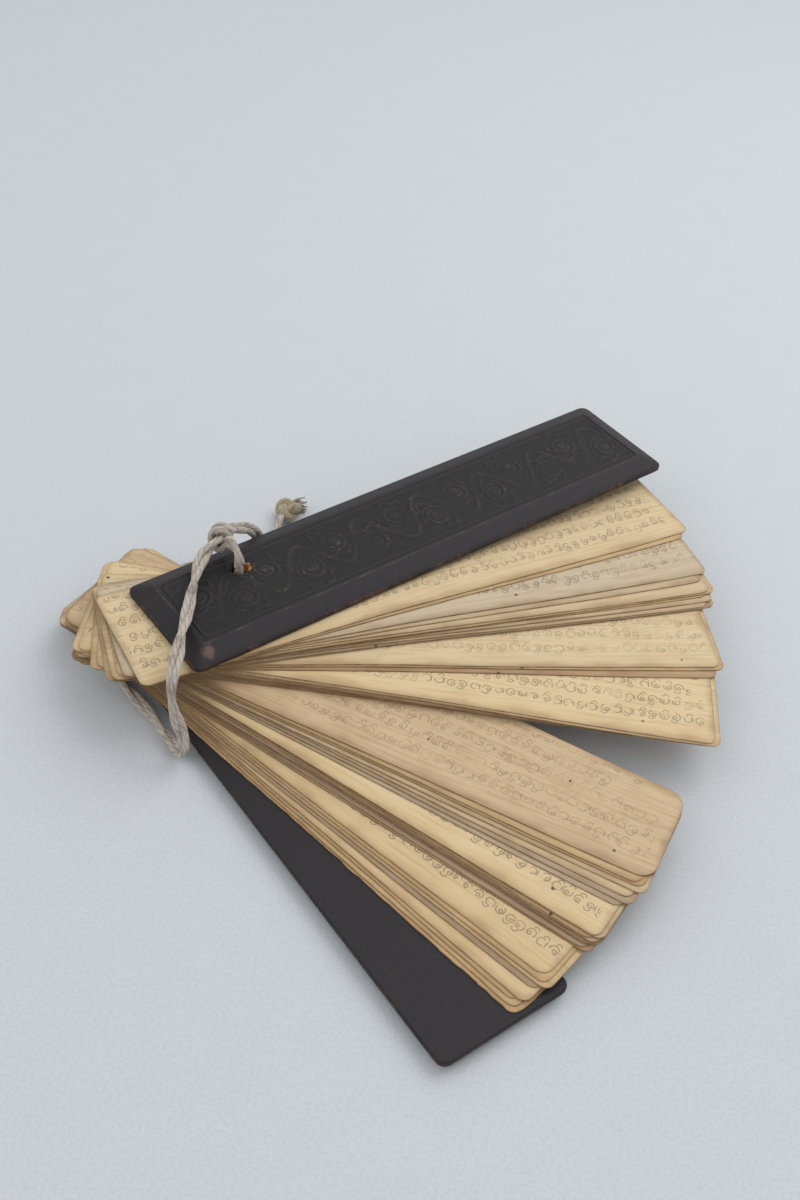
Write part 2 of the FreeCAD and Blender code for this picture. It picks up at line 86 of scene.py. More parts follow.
class Value:
    """A number, vector or colour that a material's nodes make, with signs for its sums."""

    def __init__(self, shader: "Shader", socket: bpy.types.NodeSocket) -> None:
        """Keeps the output and the material that it belongs to."""
        self.shader = shader
        self.socket = socket

    def __add__(self, other: object) -> "Value":
        """Returns a sum."""
        return self.shader.math("ADD", self, other)

    def __sub__(self, other: object) -> "Value":
        """Returns a difference."""
        return self.shader.math("SUBTRACT", self, other)

    def __rsub__(self, other: float) -> "Value":
        """Returns a number less this value."""
        return self.shader.math("SUBTRACT", other, self)

    def __mul__(self, other: object) -> "Value":
        """Returns a product."""
        return self.shader.math("MULTIPLY", self, other)

    def __truediv__(self, other: float) -> "Value":
        """Returns a quotient."""
        return self.shader.math("DIVIDE", self, other)

    def __abs__(self) -> "Value":
        """Returns the size without its sign."""
        return self.shader.math("ABSOLUTE", self)

    def fade(self, low: float, high: float) -> "Value":
        """Returns a smooth step that is 0 at low and 1 at high."""
        made = self.shader.node("ShaderNodeMapRange", {"interpolation_type": "SMOOTHSTEP"})
        self.shader.put(made.inputs["Value"], self)
        made.inputs["From Min"].default_value = low
        made.inputs["From Max"].default_value = high
        return Value(self.shader, made.outputs["Result"])

    def within(self, low: float, high: float) -> "Value":
        """Returns a smooth step that is 1 at low and 0 at high."""
        return 1.0 - self.fade(low, high)

    def split(self) -> tuple["Value", "Value", "Value"]:
        """Returns the three numbers of a vector."""
        made = self.shader.node("ShaderNodeSeparateXYZ")
        self.shader.put(made.inputs[0], self)
        return tuple(Value(self.shader, socket) for socket in made.outputs)


class Shader:
    """Node tree of one material, with short calls for the nodes that the finishes use."""

    def __init__(self, name: str) -> None:
        """Starts a material with a Principled shader wired to its output.

        Args:
            name: The material's name.
        """
        self.material = bpy.data.materials.new(name)
        self.material.use_nodes = True
        self.tree = self.material.node_tree
        self.surface = self.tree.nodes["Principled BSDF"]

    def put(self, socket: bpy.types.NodeSocket, value: object) -> None:
        """Links a value to an input, or sets the input to a number or colour."""
        if isinstance(value, Value):
            self.tree.links.new(value.socket, socket)
        else:
            socket.default_value = value

    def node(self, kind: str, settings: dict[str, object] | None = None) -> bpy.types.Node:
        """Adds a node and sets its properties."""
        made = self.tree.nodes.new(kind)
        for key, setting in (settings or {}).items():
            setattr(made, key, setting)
        return made

    def finish(self, settings: dict[str, object]) -> bpy.types.Material:
        """Sets or links the surface's inputs and returns the finished material.

        Args:
            settings: A value or number for each input, by its name.
        """
        for name, value in settings.items():
            self.put(self.surface.inputs[name], value)
        return self.material

    def math(self, operation: str, first: object, second: object = 0.0) -> Value:
        """Returns the result of one Math node."""
        made = self.node("ShaderNodeMath", {"operation": operation})
        self.put(made.inputs[0], first)
        self.put(made.inputs[1], second)
        return Value(self, made.outputs[0])

    def mix(self, share: object, first: object, second: object, blend: str = "MIX") -> Value:
        """Returns two colours mixed by a share."""
        made = self.node("ShaderNodeMix", {"data_type": "RGBA", "blend_type": blend})
        self.put(made.inputs[0], share)
        self.put(made.inputs[6], first)
        self.put(made.inputs[7], second)
        return Value(self, made.outputs[2])

    def vector(self, operation: str, first: object, second: object = (0.0, 0.0, 0.0)) -> Value:
        """Returns the result of one Vector Math node."""
        made = self.node("ShaderNodeVectorMath", {"operation": operation})
        self.put(made.inputs[0], first)
        self.put(made.inputs[1], second)
        return Value(self, made.outputs["Value" if operation in ("LENGTH", "DISTANCE") else "Vector"])

    def plan(self, scale: Triple = (1.0, 1.0, 1.0), shift: object = None) -> Value:
        """Returns the piece's plan coordinates, shifted and scaled."""
        place = Value(self, self.node("ShaderNodeUVMap", {"uv_map": PLAN_MAP}).outputs[0])
        if shift is not None:
            place = self.vector("ADD", place, shift)
        return self.vector("MULTIPLY", place, scale)

    def plan_mm(self, shift: object = None) -> Value:
        """Returns the piece's plan coordinates in millimetres."""
        return self.plan((PLAN_UNIT, PLAN_UNIT, 0.0), shift)

    def join(self, x: object, y: object, z: object = 0.0) -> Value:
        """Returns a vector made of three numbers."""
        made = self.node("ShaderNodeCombineXYZ")
        for socket, value in zip(made.inputs, (x, y, z)):
            self.put(socket, value)
        return Value(self, made.outputs[0])

    def noise(self, place: object, scale: float, detail: float = 3.0, rough: float = 0.5) -> Value:
        """Returns the value of a Noise texture."""
        made = self.node("ShaderNodeTexNoise")
        self.put(made.inputs["Vector"], place)
        made.inputs["Scale"].default_value = scale
        made.inputs["Detail"].default_value = detail
        made.inputs["Roughness"].default_value = rough
        return Value(self, made.outputs["Fac"])

    def chance(self, place: Value) -> tuple[Value, Value, Value]:
        """Returns three random numbers of a White Noise texture."""
        made = self.node("ShaderNodeTexWhiteNoise", {"noise_dimensions": "3D"})
        self.put(made.inputs["Vector"], place)
        return Value(self, made.outputs["Color"]).split()

    def attribute(self, name: str) -> Value:
        """Returns a number kept on the mesh."""
        return Value(self, self.node("ShaderNodeAttribute", {"attribute_name": name}).outputs["Fac"])

    def bump(
        self, height: Value, strength: float, distance: float, normal: Value | None = None
    ) -> Value:
        """Returns a normal bent by a height."""
        made = self.node("ShaderNodeBump")
        made.inputs["Strength"].default_value = strength
        made.inputs["Distance"].default_value = distance
        self.put(made.inputs["Height"], height)
        if normal is not None:
            self.put(made.inputs["Normal"], normal)
        return Value(self, made.outputs["Normal"])


class LeafSlot(Enum):
    """The three kinds of leaf in the book, by the names of their finishes in the record."""

    YELLOW = "yellow_leaf"
    BROWN = "brown_leaf"
    GREY = "grey_leaf"


@dataclass(frozen=True)
class LeafFinish:
    """Dried palm leaf with rows of rounded incised marks that stand for no writing."""

    slot: LeafSlot
    pale: Colour
    deep: Colour
    greyed: Colour = (0.56, 0.47, 0.34, 1.0)
    # Brown of the cut edges, also painted into the rims as shade of the gaps between stacked leaves.
    edge: Colour = (0.19, 0.105, 0.05, 1.0)
    ink: Colour = (0.16, 0.12, 0.09, 1.0)
    chipped: Colour = (0.84, 0.77, 0.66, 1.0)
    speck: Colour = (0.05, 0.03, 0.02, 1.0)
    speck_gap_mm: float = 24.0
    first_row_mm: float = 7.4
    row_drift_mm: float = 2.4
    row_pitch_mm: float = 7.4
    row_end_mm: float = 177.0
    short_row_mm: float = 60.0
    mark_pitch_mm: float = 4.3
    mark_shake_mm: float = 0.7
    stroke_mm: float = 0.34
    hidden_mm: float = 4.0

    def marks(self, shader: Shader) -> Value:
        """Returns a mask of incised bowls, curls, arches and tails in rows along the leaf.

        Each mark stands in a cell of its row, and white noise chooses its strokes. Every stroke is
        a part of a ring, given by its place, its radius and a mask that hides it.

        Args:
            shader: The material that the mask belongs to.

        Returns:
            A value that is 1 on a stroke and 0 elsewhere.
        """
        seed = shader.attribute(LEAF_SEED)
        along = shader.plan_mm().split()[0]
        drift = shader.noise(shader.join(along * 0.02, seed), 1.0, 1.0)
        level = shader.attribute(NEAR_MM) + drift * self.row_drift_mm - self.first_row_mm
        row = shader.math("FLOOR", level / self.row_pitch_mm)
        shift, stop, _ = shader.chance(shader.join(row, seed, 4.0))
        place = along / self.mark_pitch_mm + shift * 7.0
        cell = shader.math("FLOOR", place)
        first, second, third = shader.chance(shader.join(cell, row, seed))
        fourth, fifth, sixth = shader.chance(shader.join(cell, row, seed + 71.0))
        x = (place - cell - 0.5) * self.mark_pitch_mm - (first - 0.5) * self.mark_shake_mm
        y = level - (row + 0.5) * self.row_pitch_mm - (second - 0.5) * self.mark_shake_mm
        radius = third * 0.6 + 1.15
        turned = shader.math("ARCTAN2", y, x) + fourth * math.tau
        opening = shader.math("COSINE", turned).fade(0.62, 0.75)
        arch_y = y - (radius + 0.35)
        no_arch = shader.math("MAXIMUM", sixth.within(0.5, 0.51), arch_y.within(-0.15, 0.0))
        tail_y = y + (radius + 0.1)
        no_tail = shader.math("MAXIMUM", sixth.fade(0.33, 0.34), tail_y.fade(0.0, 0.15))
        no_stem = shader.math("MAXIMUM", fifth.within(0.62, 0.63), abs(y).fade(1.2, 1.4))
        nearest = abs(x - 1.75) + no_stem * self.hidden_mm
        rings = (
            (x, y, radius, opening),
            (x - (first * 1.6 - 0.8), y + 0.45, 0.62, fifth.fade(0.7, 0.71)),
            (x - 0.7, arch_y, 1.0, no_arch),
            (x + 0.6, tail_y, 1.1, no_tail),
        )
        for ring_x, ring_y, ring_radius, hidden in rings:
            reach = shader.vector("LENGTH", shader.join(ring_x, ring_y))
            stroke = abs(reach - ring_radius) + hidden * self.hidden_mm
            nearest = shader.math("MINIMUM", nearest, stroke)
        line = nearest.within(self.stroke_mm * 0.25, self.stroke_mm)
        inside = shader.attribute(EDGE_MM).fade(1.6, 2.4)
        row_end = self.row_end_mm - stop.fade(0.8, 1.0) * self.short_row_mm
        ended = (row_end - along).fade(0.0, 2.0)
        worn = shader.noise(shader.plan((6.0, 9.0, 1.0), shader.join(seed, seed)), 1.0, 2.0)
        strength = shader.attribute(LEAF_INK) * (worn.fade(0.3, 0.6) + 0.6)
        mask = line * inside * (level.fade(0.0, 0.3) * ended)
        return shader.math("MINIMUM", mask * strength, 1.0)

    def base(self, shader: Shader, shift: Value, fibres: Value) -> Value:
        """Returns the leaf's colour without its marks: fibres, clouds, rims browned partly by age and
        partly by painted shade of the gaps between stacked leaves, and specks.

        Args:
            shader: The material that the colour belongs to.
            shift: The leaf's own shift of every pattern.
            fibres: The mask of the leaf's long fibres.
        """
        edge = shader.attribute(EDGE_MM)
        bands = shader.noise(shader.plan((0.35, 6.0, 1.0), shift), 12.0, 2.0)
        veins = shader.noise(shader.plan((0.12, 22.0, 1.0), shift), 22.0, 2.0)
        clouds = shader.noise(shader.plan((1.0, 1.8, 1.0), shift), 5.0, 3.0, 0.55)
        nicks = shader.noise(shader.plan((1.0, 0.2, 1.0), shift), 14.0, 4.0, 0.6)
        colour = shader.mix(shader.attribute(LEAF_TONE), self.pale, self.deep)
        colour = shader.mix(shader.attribute(LEAF_GREY), colour, self.greyed)
        darker = shader.mix(0.6, colour, self.deep, "MULTIPLY")
        handled = (shader.attribute(NEAR_MM) - clouds * 5.0).within(-2.0, 4.0)
        # Rims darker towards every edge and at the cut edge itself: partly real browning with age,
        # partly painted shade of the gaps between stacked leaves.
        browned_rim_and_gap_shade = (edge - clouds.fade(0.35, 0.7) * 1.8).within(-1.4, 2.2)
        cut_edge_and_gap_shade = edge.within(0.05, 0.35) * (nicks.fade(0.35, 0.65) * 0.5 + 0.22)
        chips = nicks.fade(0.7, 0.74) * edge.within(0.3, 0.9)
        dots = shader.node("ShaderNodeTexVoronoi", {"voronoi_dimensions": "2D"})
        shader.put(dots.inputs["Vector"], shader.plan_mm(shift))
        dots.inputs["Scale"].default_value = 1.0 / self.speck_gap_mm
        rare, size, _ = Value(shader, dots.outputs["Color"]).split()
        reach = Value(shader, dots.outputs["Distance"]) - size * 0.012
        specks = reach.within(0.012, 0.022) * rare.fade(0.72, 0.73)
        layers = (
            (bands.fade(0.42, 0.75) * 0.55, darker),
            (veins.fade(0.62, 0.72) * 0.4, darker),
            (fibres.fade(0.45, 0.8) * 0.45, darker),
            (clouds.fade(0.45, 0.8) * 0.4, darker),
            (handled * 0.35, darker),
            (browned_rim_and_gap_shade * 0.4, self.edge),
            (cut_edge_and_gap_shade, self.edge),
            (chips * 0.5, self.chipped),
            (specks * 0.85, self.speck),
        )
        for share, tint in layers:
            colour = shader.mix(share, colour, tint)
        return colour

    def material(self) -> bpy.types.Material:
        """Returns the finish; each leaf's tone and seed are on its mesh."""
        shader = Shader(self.slot.value)
        seed = shader.attribute(LEAF_SEED)
        shift = shader.join(seed * 0.37, seed * 0.71)
        fibres = shader.noise(shader.plan((0.35, 14.0, 1.0), shift), 60.0, 4.0, 0.6)
        marks = self.marks(shader)
        colour = shader.mix(marks * 0.62, self.base(shader, shift, fibres), self.ink)
        normal = shader.bump(fibres - marks * 0.8, 0.3, 0.1 * MM)
        settings = {"Base Color": colour, "Normal": normal, "Roughness": 0.6}
        return shader.finish(settings | {"Specular IOR Level": 0.35})


LEAF_FINISHES = (
    LeafFinish(LeafSlot.YELLOW, pale=(0.73, 0.575, 0.34, 1.0), deep=(0.62, 0.43, 0.22, 1.0)),
    LeafFinish(LeafSlot.BROWN, pale=(0.67, 0.49, 0.29, 1.0), deep=(0.43, 0.27, 0.14, 1.0)),
    LeafFinish(LeafSlot.GREY, pale=(0.63, 0.50, 0.335, 1.0), deep=(0.48, 0.36, 0.225, 1.0)),
)


@dataclass(frozen=True)
class CoverFinish:
    """Near-black lacquered wood, worn brown on its ridges and chipped round the cord hole."""

    slot: str = "cover_wood"
    wood: Colour = (0.017, 0.0135, 0.0155, 1.0)
    valley: Colour = (0.009, 0.0075, 0.008, 1.0)
    worn: Colour = (0.115, 0.072, 0.052, 1.0)
    rust: Colour = (0.16, 0.062, 0.035, 1.0)
    # Pale grey of the painted glint specks on the lacquer.
    painted_glint_colour: Colour = (0.2, 0.16, 0.13, 1.0)
    bruised: Colour = (0.20, 0.115, 0.095, 1.0)
    bare: Colour = (0.46, 0.20, 0.065, 1.0)
    bruise_place_mm: Triple = (-31.5, -31.0, 0.0)
    ridge_inset_mm: float = 7.2

    def material(self) -> bpy.types.Material:
        """Returns the covers' material, which reads plan coordinates from the hole."""
        shader = Shader(self.slot)
        plan = shader.plan_mm()
        along, across, _ = plan.split()
        inset = shader.attribute(EDGE_MM)
        relief = shader.attribute(RELIEF)
        grain = shader.noise(shader.plan((3.0, 60.0, 1.0)), 9.0, 5.0, 0.65)
        scratches = shader.noise(shader.plan((4.0, 70.0, 1.0), (0.3, 0.1, 0.0)), 16.0, 2.0)
        patches = shader.noise(plan, 0.07, 4.0, 0.6)
        mottling = shader.noise(plan, 0.55, 4.0, 0.65)
        glints = shader.noise(plan, 2.6, 2.0)
        top = relief.fade(0.5, 0.8) * mottling.fade(0.5, 0.66)
        carved = inset.fade(9.9, 10.4) * patches.fade(0.35, 0.6)
        ridge = abs(inset - self.ridge_inset_mm).within(0.12, 0.42)
        rim = inset.within(0.1, 0.7)
        rubbed = patches.fade(0.4, 0.6) * mottling.fade(0.4, 0.6)
        # Painted glints: tiny pale specks of light painted into the colour where the glint noise peaks.
        painted_glint_specks = glints.fade(0.7, 0.76) * patches.fade(0.5, 0.62)
        spots = patches.fade(0.55, 0.7) * mottling.fade(0.54, 0.7)
        bruise = shader.vector("DISTANCE", plan, self.bruise_place_mm) - mottling * 5.0
        reach = shader.vector("LENGTH", shader.join(along, across))
        side = (along - across * 0.35) / 3.4
        ragged = shader.noise(plan, 0.42, 3.0, 0.6) * 6.4
        layers = (
            (top * carved * 0.75, self.worn),
            (ridge * rubbed * 0.7, self.worn),
            (rim * rubbed * 0.5, self.rust),
            (painted_glint_specks * 0.5, self.painted_glint_colour),
            (spots * 0.3, self.rust),
            (scratches.fade(0.68, 0.8) * 0.25, self.worn),
            (bruise.within(-1.4, 0.6) * 0.55, self.bruised),
            ((reach - ragged - side * 0.55).within(0.15, 0.4), self.bare),
        )
        colour = shader.mix(relief * 0.9, self.valley, self.wood)
        for share, tint in layers:
            colour = shader.mix(share, colour, tint)
        rough = mottling * 0.3 + 0.42 - glints.fade(0.68, 0.74) * 0.22
        normal = shader.bump(glints, 0.3, 0.25 * MM, shader.bump(grain, 0.3, 0.2 * MM))
        settings = {"Base Color": colour, "Normal": normal, "Roughness": rough}
        return shader.finish(settings | {"Specular IOR Level": 0.36})


@dataclass(frozen=True)
class CordFinish:
    """Grey-beige cotton with fine fibres that run along and round each ply."""

    slot: str = "cord_cotton"
    thread: Colour = (0.72, 0.645, 0.555, 1.0)
    shade: Colour = (0.2, 0.145, 0.1, 1.0)
    yarns: float = 4.0

    def material(self) -> bpy.types.Material:
        """Returns the cotton, which reads lengths along and round each ply in plan units."""
        shader = Shader(self.slot)
        along, around, _ = shader.plan((1.0, 1.0, 0.0)).split()
        slope = along * 0.55 + around
        groove = abs(shader.math("FRACT", slope * self.yarns) - 0.5).fade(0.34, 0.5)
        hairs = shader.noise(shader.join(slope * 26.0, along * 3.0), 1.6, 4.0, 0.7)
        dirt = shader.noise(shader.join(along, around), 1.1, 3.0, 0.6)
        share = groove * 0.2 + hairs.fade(0.36, 0.7) * 0.5 + dirt.fade(0.42, 0.72) * 0.5
        colour = shader.mix(shader.math("MINIMUM", share, 1.0), self.thread, self.shade)
        normal = shader.bump(hairs - groove * 0.9, 0.9, 0.5 * MM)
        settings = {"Base Color": colour, "Normal": normal, "Roughness": 0.9}
        return shader.finish(settings | {"Sheen Weight": 0.3})


@dataclass(frozen=True)
class FloorFinish:
    """Plain pale blue-grey paper with a fine tooth."""

    colour: Colour = (0.625, 0.65, 0.675, 1.0)
    tooth: Colour = (0.54, 0.565, 0.59, 1.0)

    def material(self) -> bpy.types.Material:
        """Returns the floor's material."""
        shader = Shader("pale_paper")
        place = Value(shader, shader.node("ShaderNodeTexCoord").outputs["Object"])
        grain = shader.noise(place, 900.0, 2.0, 0.6)
        blots = shader.noise(place, 60.0, 2.0)
        colour = shader.mix(grain.fade(0.35, 0.7) * 0.6 + blots * 0.25, self.colour, self.tooth)
        normal = shader.bump(grain, 0.2, 0.2 * MM)
        return shader.finish({"Base Color": colour, "Normal": normal, "Roughness": 0.9})


def finish_mesh(
    name: str, bm: bmesh.types.BMesh, material: bpy.types.Material, smooth: bool = True
) -> bpy.types.Object:
    """Turns a bmesh into an object at the origin with one material.

    Args:
        name: The piece's name.
        bm: The bmesh, which is freed.
        material: The piece's finish.
        smooth: Whether light runs smoothly over the faces.

    Returns:
        The new object.
    """
    for face in bm.faces:
        face.smooth = smooth
    mesh = bpy.data.meshes.new(name)
    bm.to_mesh(mesh)
    bm.free()
    mesh.materials.append(material)
    piece = bpy.data.objects.new(name, mesh)
    bpy.context.scene.collection.objects.link(piece)
    return piece


def set_plan(bm: bmesh.types.BMesh, plans: Plans) -> None:
    """Writes each vertex's plan coordinates to the UV map."""
    layer = bm.loops.layers.uv.new(PLAN_MAP)
    for face in bm.faces:
        for loop in face.loops:
            loop[layer].uv = plans[loop.vert]


def hand_over(piece: bpy.types.Object, body: str, slot: str, *nodes: str) -> None:
    """Makes a piece ride on its body and lets it stand for its solids.

    Args:
        piece: The finished piece.
        body: The body that carries it.
        slot: The record's name of its finish; not used.
        nodes: The solids that it replaces.
    """
    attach(piece, body)
    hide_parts(*nodes)
    log.info("%s rides on %s", piece.name, body)


@dataclass(frozen=True)
class LeafLook:
    """How one leaf has weathered, and by how many degrees it lies askew of its hinge's place."""

    tone: float
    grey: float = 0.0
    ink: float = 0.6
    corner_mm: float = 3.4
    ragged_mm: float = 0.07
    skew: float = 0.0


@dataclass
class Leaf:
    """One palm leaf, shaped in its own frame with the cord hole at the origin."""

    node: str
    body: str
    number: int
    pivot: Vector
    turn: float
    thickness: float
    look: LeafLook
    short_reach: float
    long_reach: float
    near_reach: float
    short_width: float
    long_width: float
    near_slope: float = 3.5 * MM
    hole_radius: float = 3.3 * MM
    along_steps: int = 110
    across_steps: int = 26
    crowded_along: float = 0.6
    crowded_across: float = 0.66
    wave_mm: float = 0.45
    flat_reach: float = 30.0 * MM
    droop: float = 0.22
    pressed: float = 0.02 * MM

    def share_at(self, x: float) -> float:
        """Returns the share of the leaf's length that lies before a place."""
        return (x + self.short_reach) / (self.short_reach + self.long_reach)

    def near_at(self, x: float) -> float:
        """Returns the near edge's place at a length from the hole."""
        return -(self.near_reach + self.near_slope * self.share_at(x))

    def width_at(self, x: float) -> float:
        """Returns the leaf's width at a length from the hole."""
        return self.short_width + (self.long_width - self.short_width) * self.share_at(x)

    def wander(self, place: float, side: float) -> float:
        """Returns how far a trimmed edge wanders from its line at a place along it.

        Args:
            place: The place along the edge.
            side: A number that is different for each of the four edges.
        """
        ragged = self.look.ragged_mm
        waves = (
            (self.wave_mm, 0.016, 7.0, 3.3),
            (ragged, 0.17, 5.0, 1.9),
            (ragged * 0.5, 0.45, 9.0, 0.7),
        )
        total = 0.0
        for size, rate, lane, shift in waves:
            spot = Vector((place / MM * rate, side * lane, self.number * shift))
            total += size * MM * noise.noise(spot)
        return total

    def rounded(self, x: float, y: float) -> tuple[float, float]:
        """Draws the points near a corner in, so that the corner is round."""
        corner = self.look.corner_mm * MM
        low_x, high_x = -self.short_reach + corner, self.long_reach - corner
        low_y = self.near_at(x) + corner
        high_y = self.near_at(x) + self.width_at(x) - corner
        base_x = low_x if x < low_x else high_x if x > high_x else None
        base_y = low_y if y < low_y else high_y if y > high_y else None
        if base_x is None or base_y is None:
            return x, y
        dx, dy = (x - base_x) / corner, (y - base_y) / corner
        new_x = base_x + corner * dx * math.sqrt(1 - dy * dy / 2)
        return new_x, base_y + corner * dy * math.sqrt(1 - dx * dx / 2)

    def shape_sheet(self, bm: bmesh.types.BMesh) -> None:
        """Moves a square grid's points to the leaf's outline and notes how far in each one lies."""
        layers = {name: bm.verts.layers.float.new(name) for name in (EDGE_MM, NEAR_MM)}
        marks = {LEAF_SEED: float(self.number), LEAF_TONE: self.look.tone}
        marks |= {LEAF_GREY: self.look.grey, LEAF_INK: self.look.ink}
        for name, value in marks.items():
            layer = bm.verts.layers.float.new(name)
            for vert in bm.verts:
                vert[layer] = value
        for vert in bm.verts:
            s, t = (vert.co.x + 1) / 2, (vert.co.y + 1) / 2
            s -= self.crowded_along * math.sin(math.tau * s) / math.tau
            t -= self.crowded_across * math.sin(math.tau * t) / math.tau
            x = -self.short_reach + (self.short_reach + self.long_reach) * s
            from_near = self.width_at(x) * t
            ends = min(x + self.short_reach, self.long_reach - x)
            vert[layers[EDGE_MM]] = min(ends, from_near, self.width_at(x) - from_near) / MM
            vert[layers[NEAR_MM]] = from_near / MM
            y = self.near_at(x) + from_near
            new_x, new_y = self.rounded(x, y)
            new_x += self.wander(y, 2.0) * s - self.wander(y, 3.0) * (1 - s)
            new_y += self.wander(x, 1.0) * t - self.wander(x, -1.0) * (1 - t)
            vert.co = Vector((new_x, new_y, 0.0))

    def cut_hole(self, bm: bmesh.types.BMesh) -> None:
        """Opens the sheet round the cord and rounds the opening."""
        inner = [vert for vert in bm.verts if vert.co.length < self.hole_radius * 0.95]
        bmesh.ops.delete(bm, geom=inner, context="VERTS")
        loose = [vert for vert in bm.verts if not vert.link_faces]
        bmesh.ops.delete(bm, geom=loose, context="VERTS")
        for vert in bm.verts:
            if vert.is_boundary and vert.co.length < self.hole_radius * 3:
                vert.co = vert.co.normalized() * self.hole_radius

    def settle(self, bm: bmesh.types.BMesh) -> None:
        """Turns the sheet to its place in the fan and lets it sag a little towards its ends."""
        turn = Matrix.Rotation(self.turn, 4, "Z")
        stack_base = COVER_MM * MM
        height = self.pivot.z + self.thickness - stack_base
        for vert in bm.verts:
            reach = vert.co.length
            settled = 1.0 - self.droop * smoothstep(self.flat_reach, self.long_reach, reach)
            vert.co = turn @ vert.co
            vert.co.x += self.pivot.x
            vert.co.y += self.pivot.y
            vert.co.z = stack_base + height * settled

    def build(self, material: bpy.types.Material, slot: str) -> None:
        """Builds the leaf's sheet, gives it its thickness and puts it in its solid's place.

        Args:
            material: The leaf's finish.
            slot: The finish's name in the record.
        """
        bm = bmesh.new()
        steps = {"x_segments": self.along_steps, "y_segments": self.across_steps}
        bmesh.ops.create_grid(bm, size=1.0, **steps)
        self.shape_sheet(bm)
        self.cut_hole(bm)
        set_plan(bm, {vert: tuple(vert.co.xy / MM / PLAN_UNIT) for vert in bm.verts})
        self.settle(bm)
        piece = finish_mesh(f"inscribed_{self.node}", bm, material, smooth=False)
        wall = piece.modifiers.new("thickness", "SOLIDIFY")
        wall.thickness = self.thickness + self.pressed
        wall.offset = -1.0
        hand_over(piece, self.body, slot, self.node)


@dataclass
class LeafStack:
    """All the leaves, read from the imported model's bodies and hinges."""

    short_reach: float = 52.0 * MM
    long_reach: float = 181.5 * MM
    near_reach: float = 37.5 * MM
    short_width: float = 49.5 * MM
    long_width: float = 40.5 * MM
    shorter_step: float = 0.9 * MM
    narrower_step: float = 0.35 * MM
    notable: dict[int, LeafLook] = field(
        default_factory=lambda: {
            1: LeafLook(1.0, ragged_mm=0.5, ink=0.2, skew=2.8),
            2: LeafLook(0.6, ragged_mm=0.2, ink=0.3, skew=2.4),
            3: LeafLook(0.8, ink=0.3, skew=2.1),
            4: LeafLook(0.35, ink=0.5, skew=1.7),
            5: LeafLook(0.9, ink=0.5, skew=1.3),
            6: LeafLook(0.4, ink=0.5, skew=1.3),
            7: LeafLook(0.7, ink=0.5, skew=1.0),
            8: LeafLook(0.35, ink=1.0, corner_mm=4.6, skew=0.9),
            17: LeafLook(0.15, ink=0.9),
            20: LeafLook(0.3, grey=0.3, ink=0.3),
            24: LeafLook(0.12, grey=0.1, ink=0.5, corner_mm=6.4),
            32: LeafLook(0.1, ink=0.8),
            35: LeafLook(0.05, grey=0.2, ink=0.5),
            42: LeafLook(0.3, grey=0.4, ink=0.4),
            43: LeafLook(0.5, grey=0.6, ink=0.5),
            44: LeafLook(0.1, grey=0.85, ink=0.85),
            45: LeafLook(0.5, ink=0.6),
            46: LeafLook(0.08, grey=0.15, ink=0.95),
        }
    )

    def look_of(self, number: int) -> LeafLook:
        """Returns how one leaf has weathered, by its number from the bottom."""
        if number in self.notable:
            return self.notable[number]
        chooser = random.Random(number)
        tone, grey = chooser.uniform(0.05, 0.9), chooser.choice((0.0, 0.0, 0.15, 0.5))
        return LeafLook(tone, grey, chooser.uniform(0.3, 0.8), skew=chooser.uniform(-0.35, 0.35))

    def build(self) -> None:
        """Builds every leaf from the bottom of the stack to the top."""
        slots = {part["node"]: part["material_slot"] for part in frame["record"]["subparts"]}
        materials = {finish.slot.value: finish.material() for finish in LEAF_FINISHES}
        bodies = [body for body in HINGES if body.startswith("leaf")]
        for body in bodies:
            hinge = HINGES[body]
            node = body.removesuffix("_body")
            number = int(node.removeprefix("leaf_"))
            low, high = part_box(node)
            look = self.look_of(number)
            shorter = self.shorter_step * ((number - 1) * 7 % 5)
            narrower = self.narrower_step * ((number - 1) * 5 % 4)
            leaf = Leaf(
                node=node,
                body=body,
                number=number,
                pivot=Vector(hinge["pos_m"]),
                turn=math.radians(BOTTOM_DEGREES - hinge["range_deg"][0] + look.skew),
                thickness=high.z - low.z,
                look=look,
                short_reach=self.short_reach - shorter,
                long_reach=self.long_reach - shorter,
                near_reach=self.near_reach - narrower,
                short_width=self.short_width - narrower,
                long_width=self.long_width - narrower,
            )
            leaf.build(materials[slots[node]], slots[node])
        log.info("built %d leaves", len(bodies))


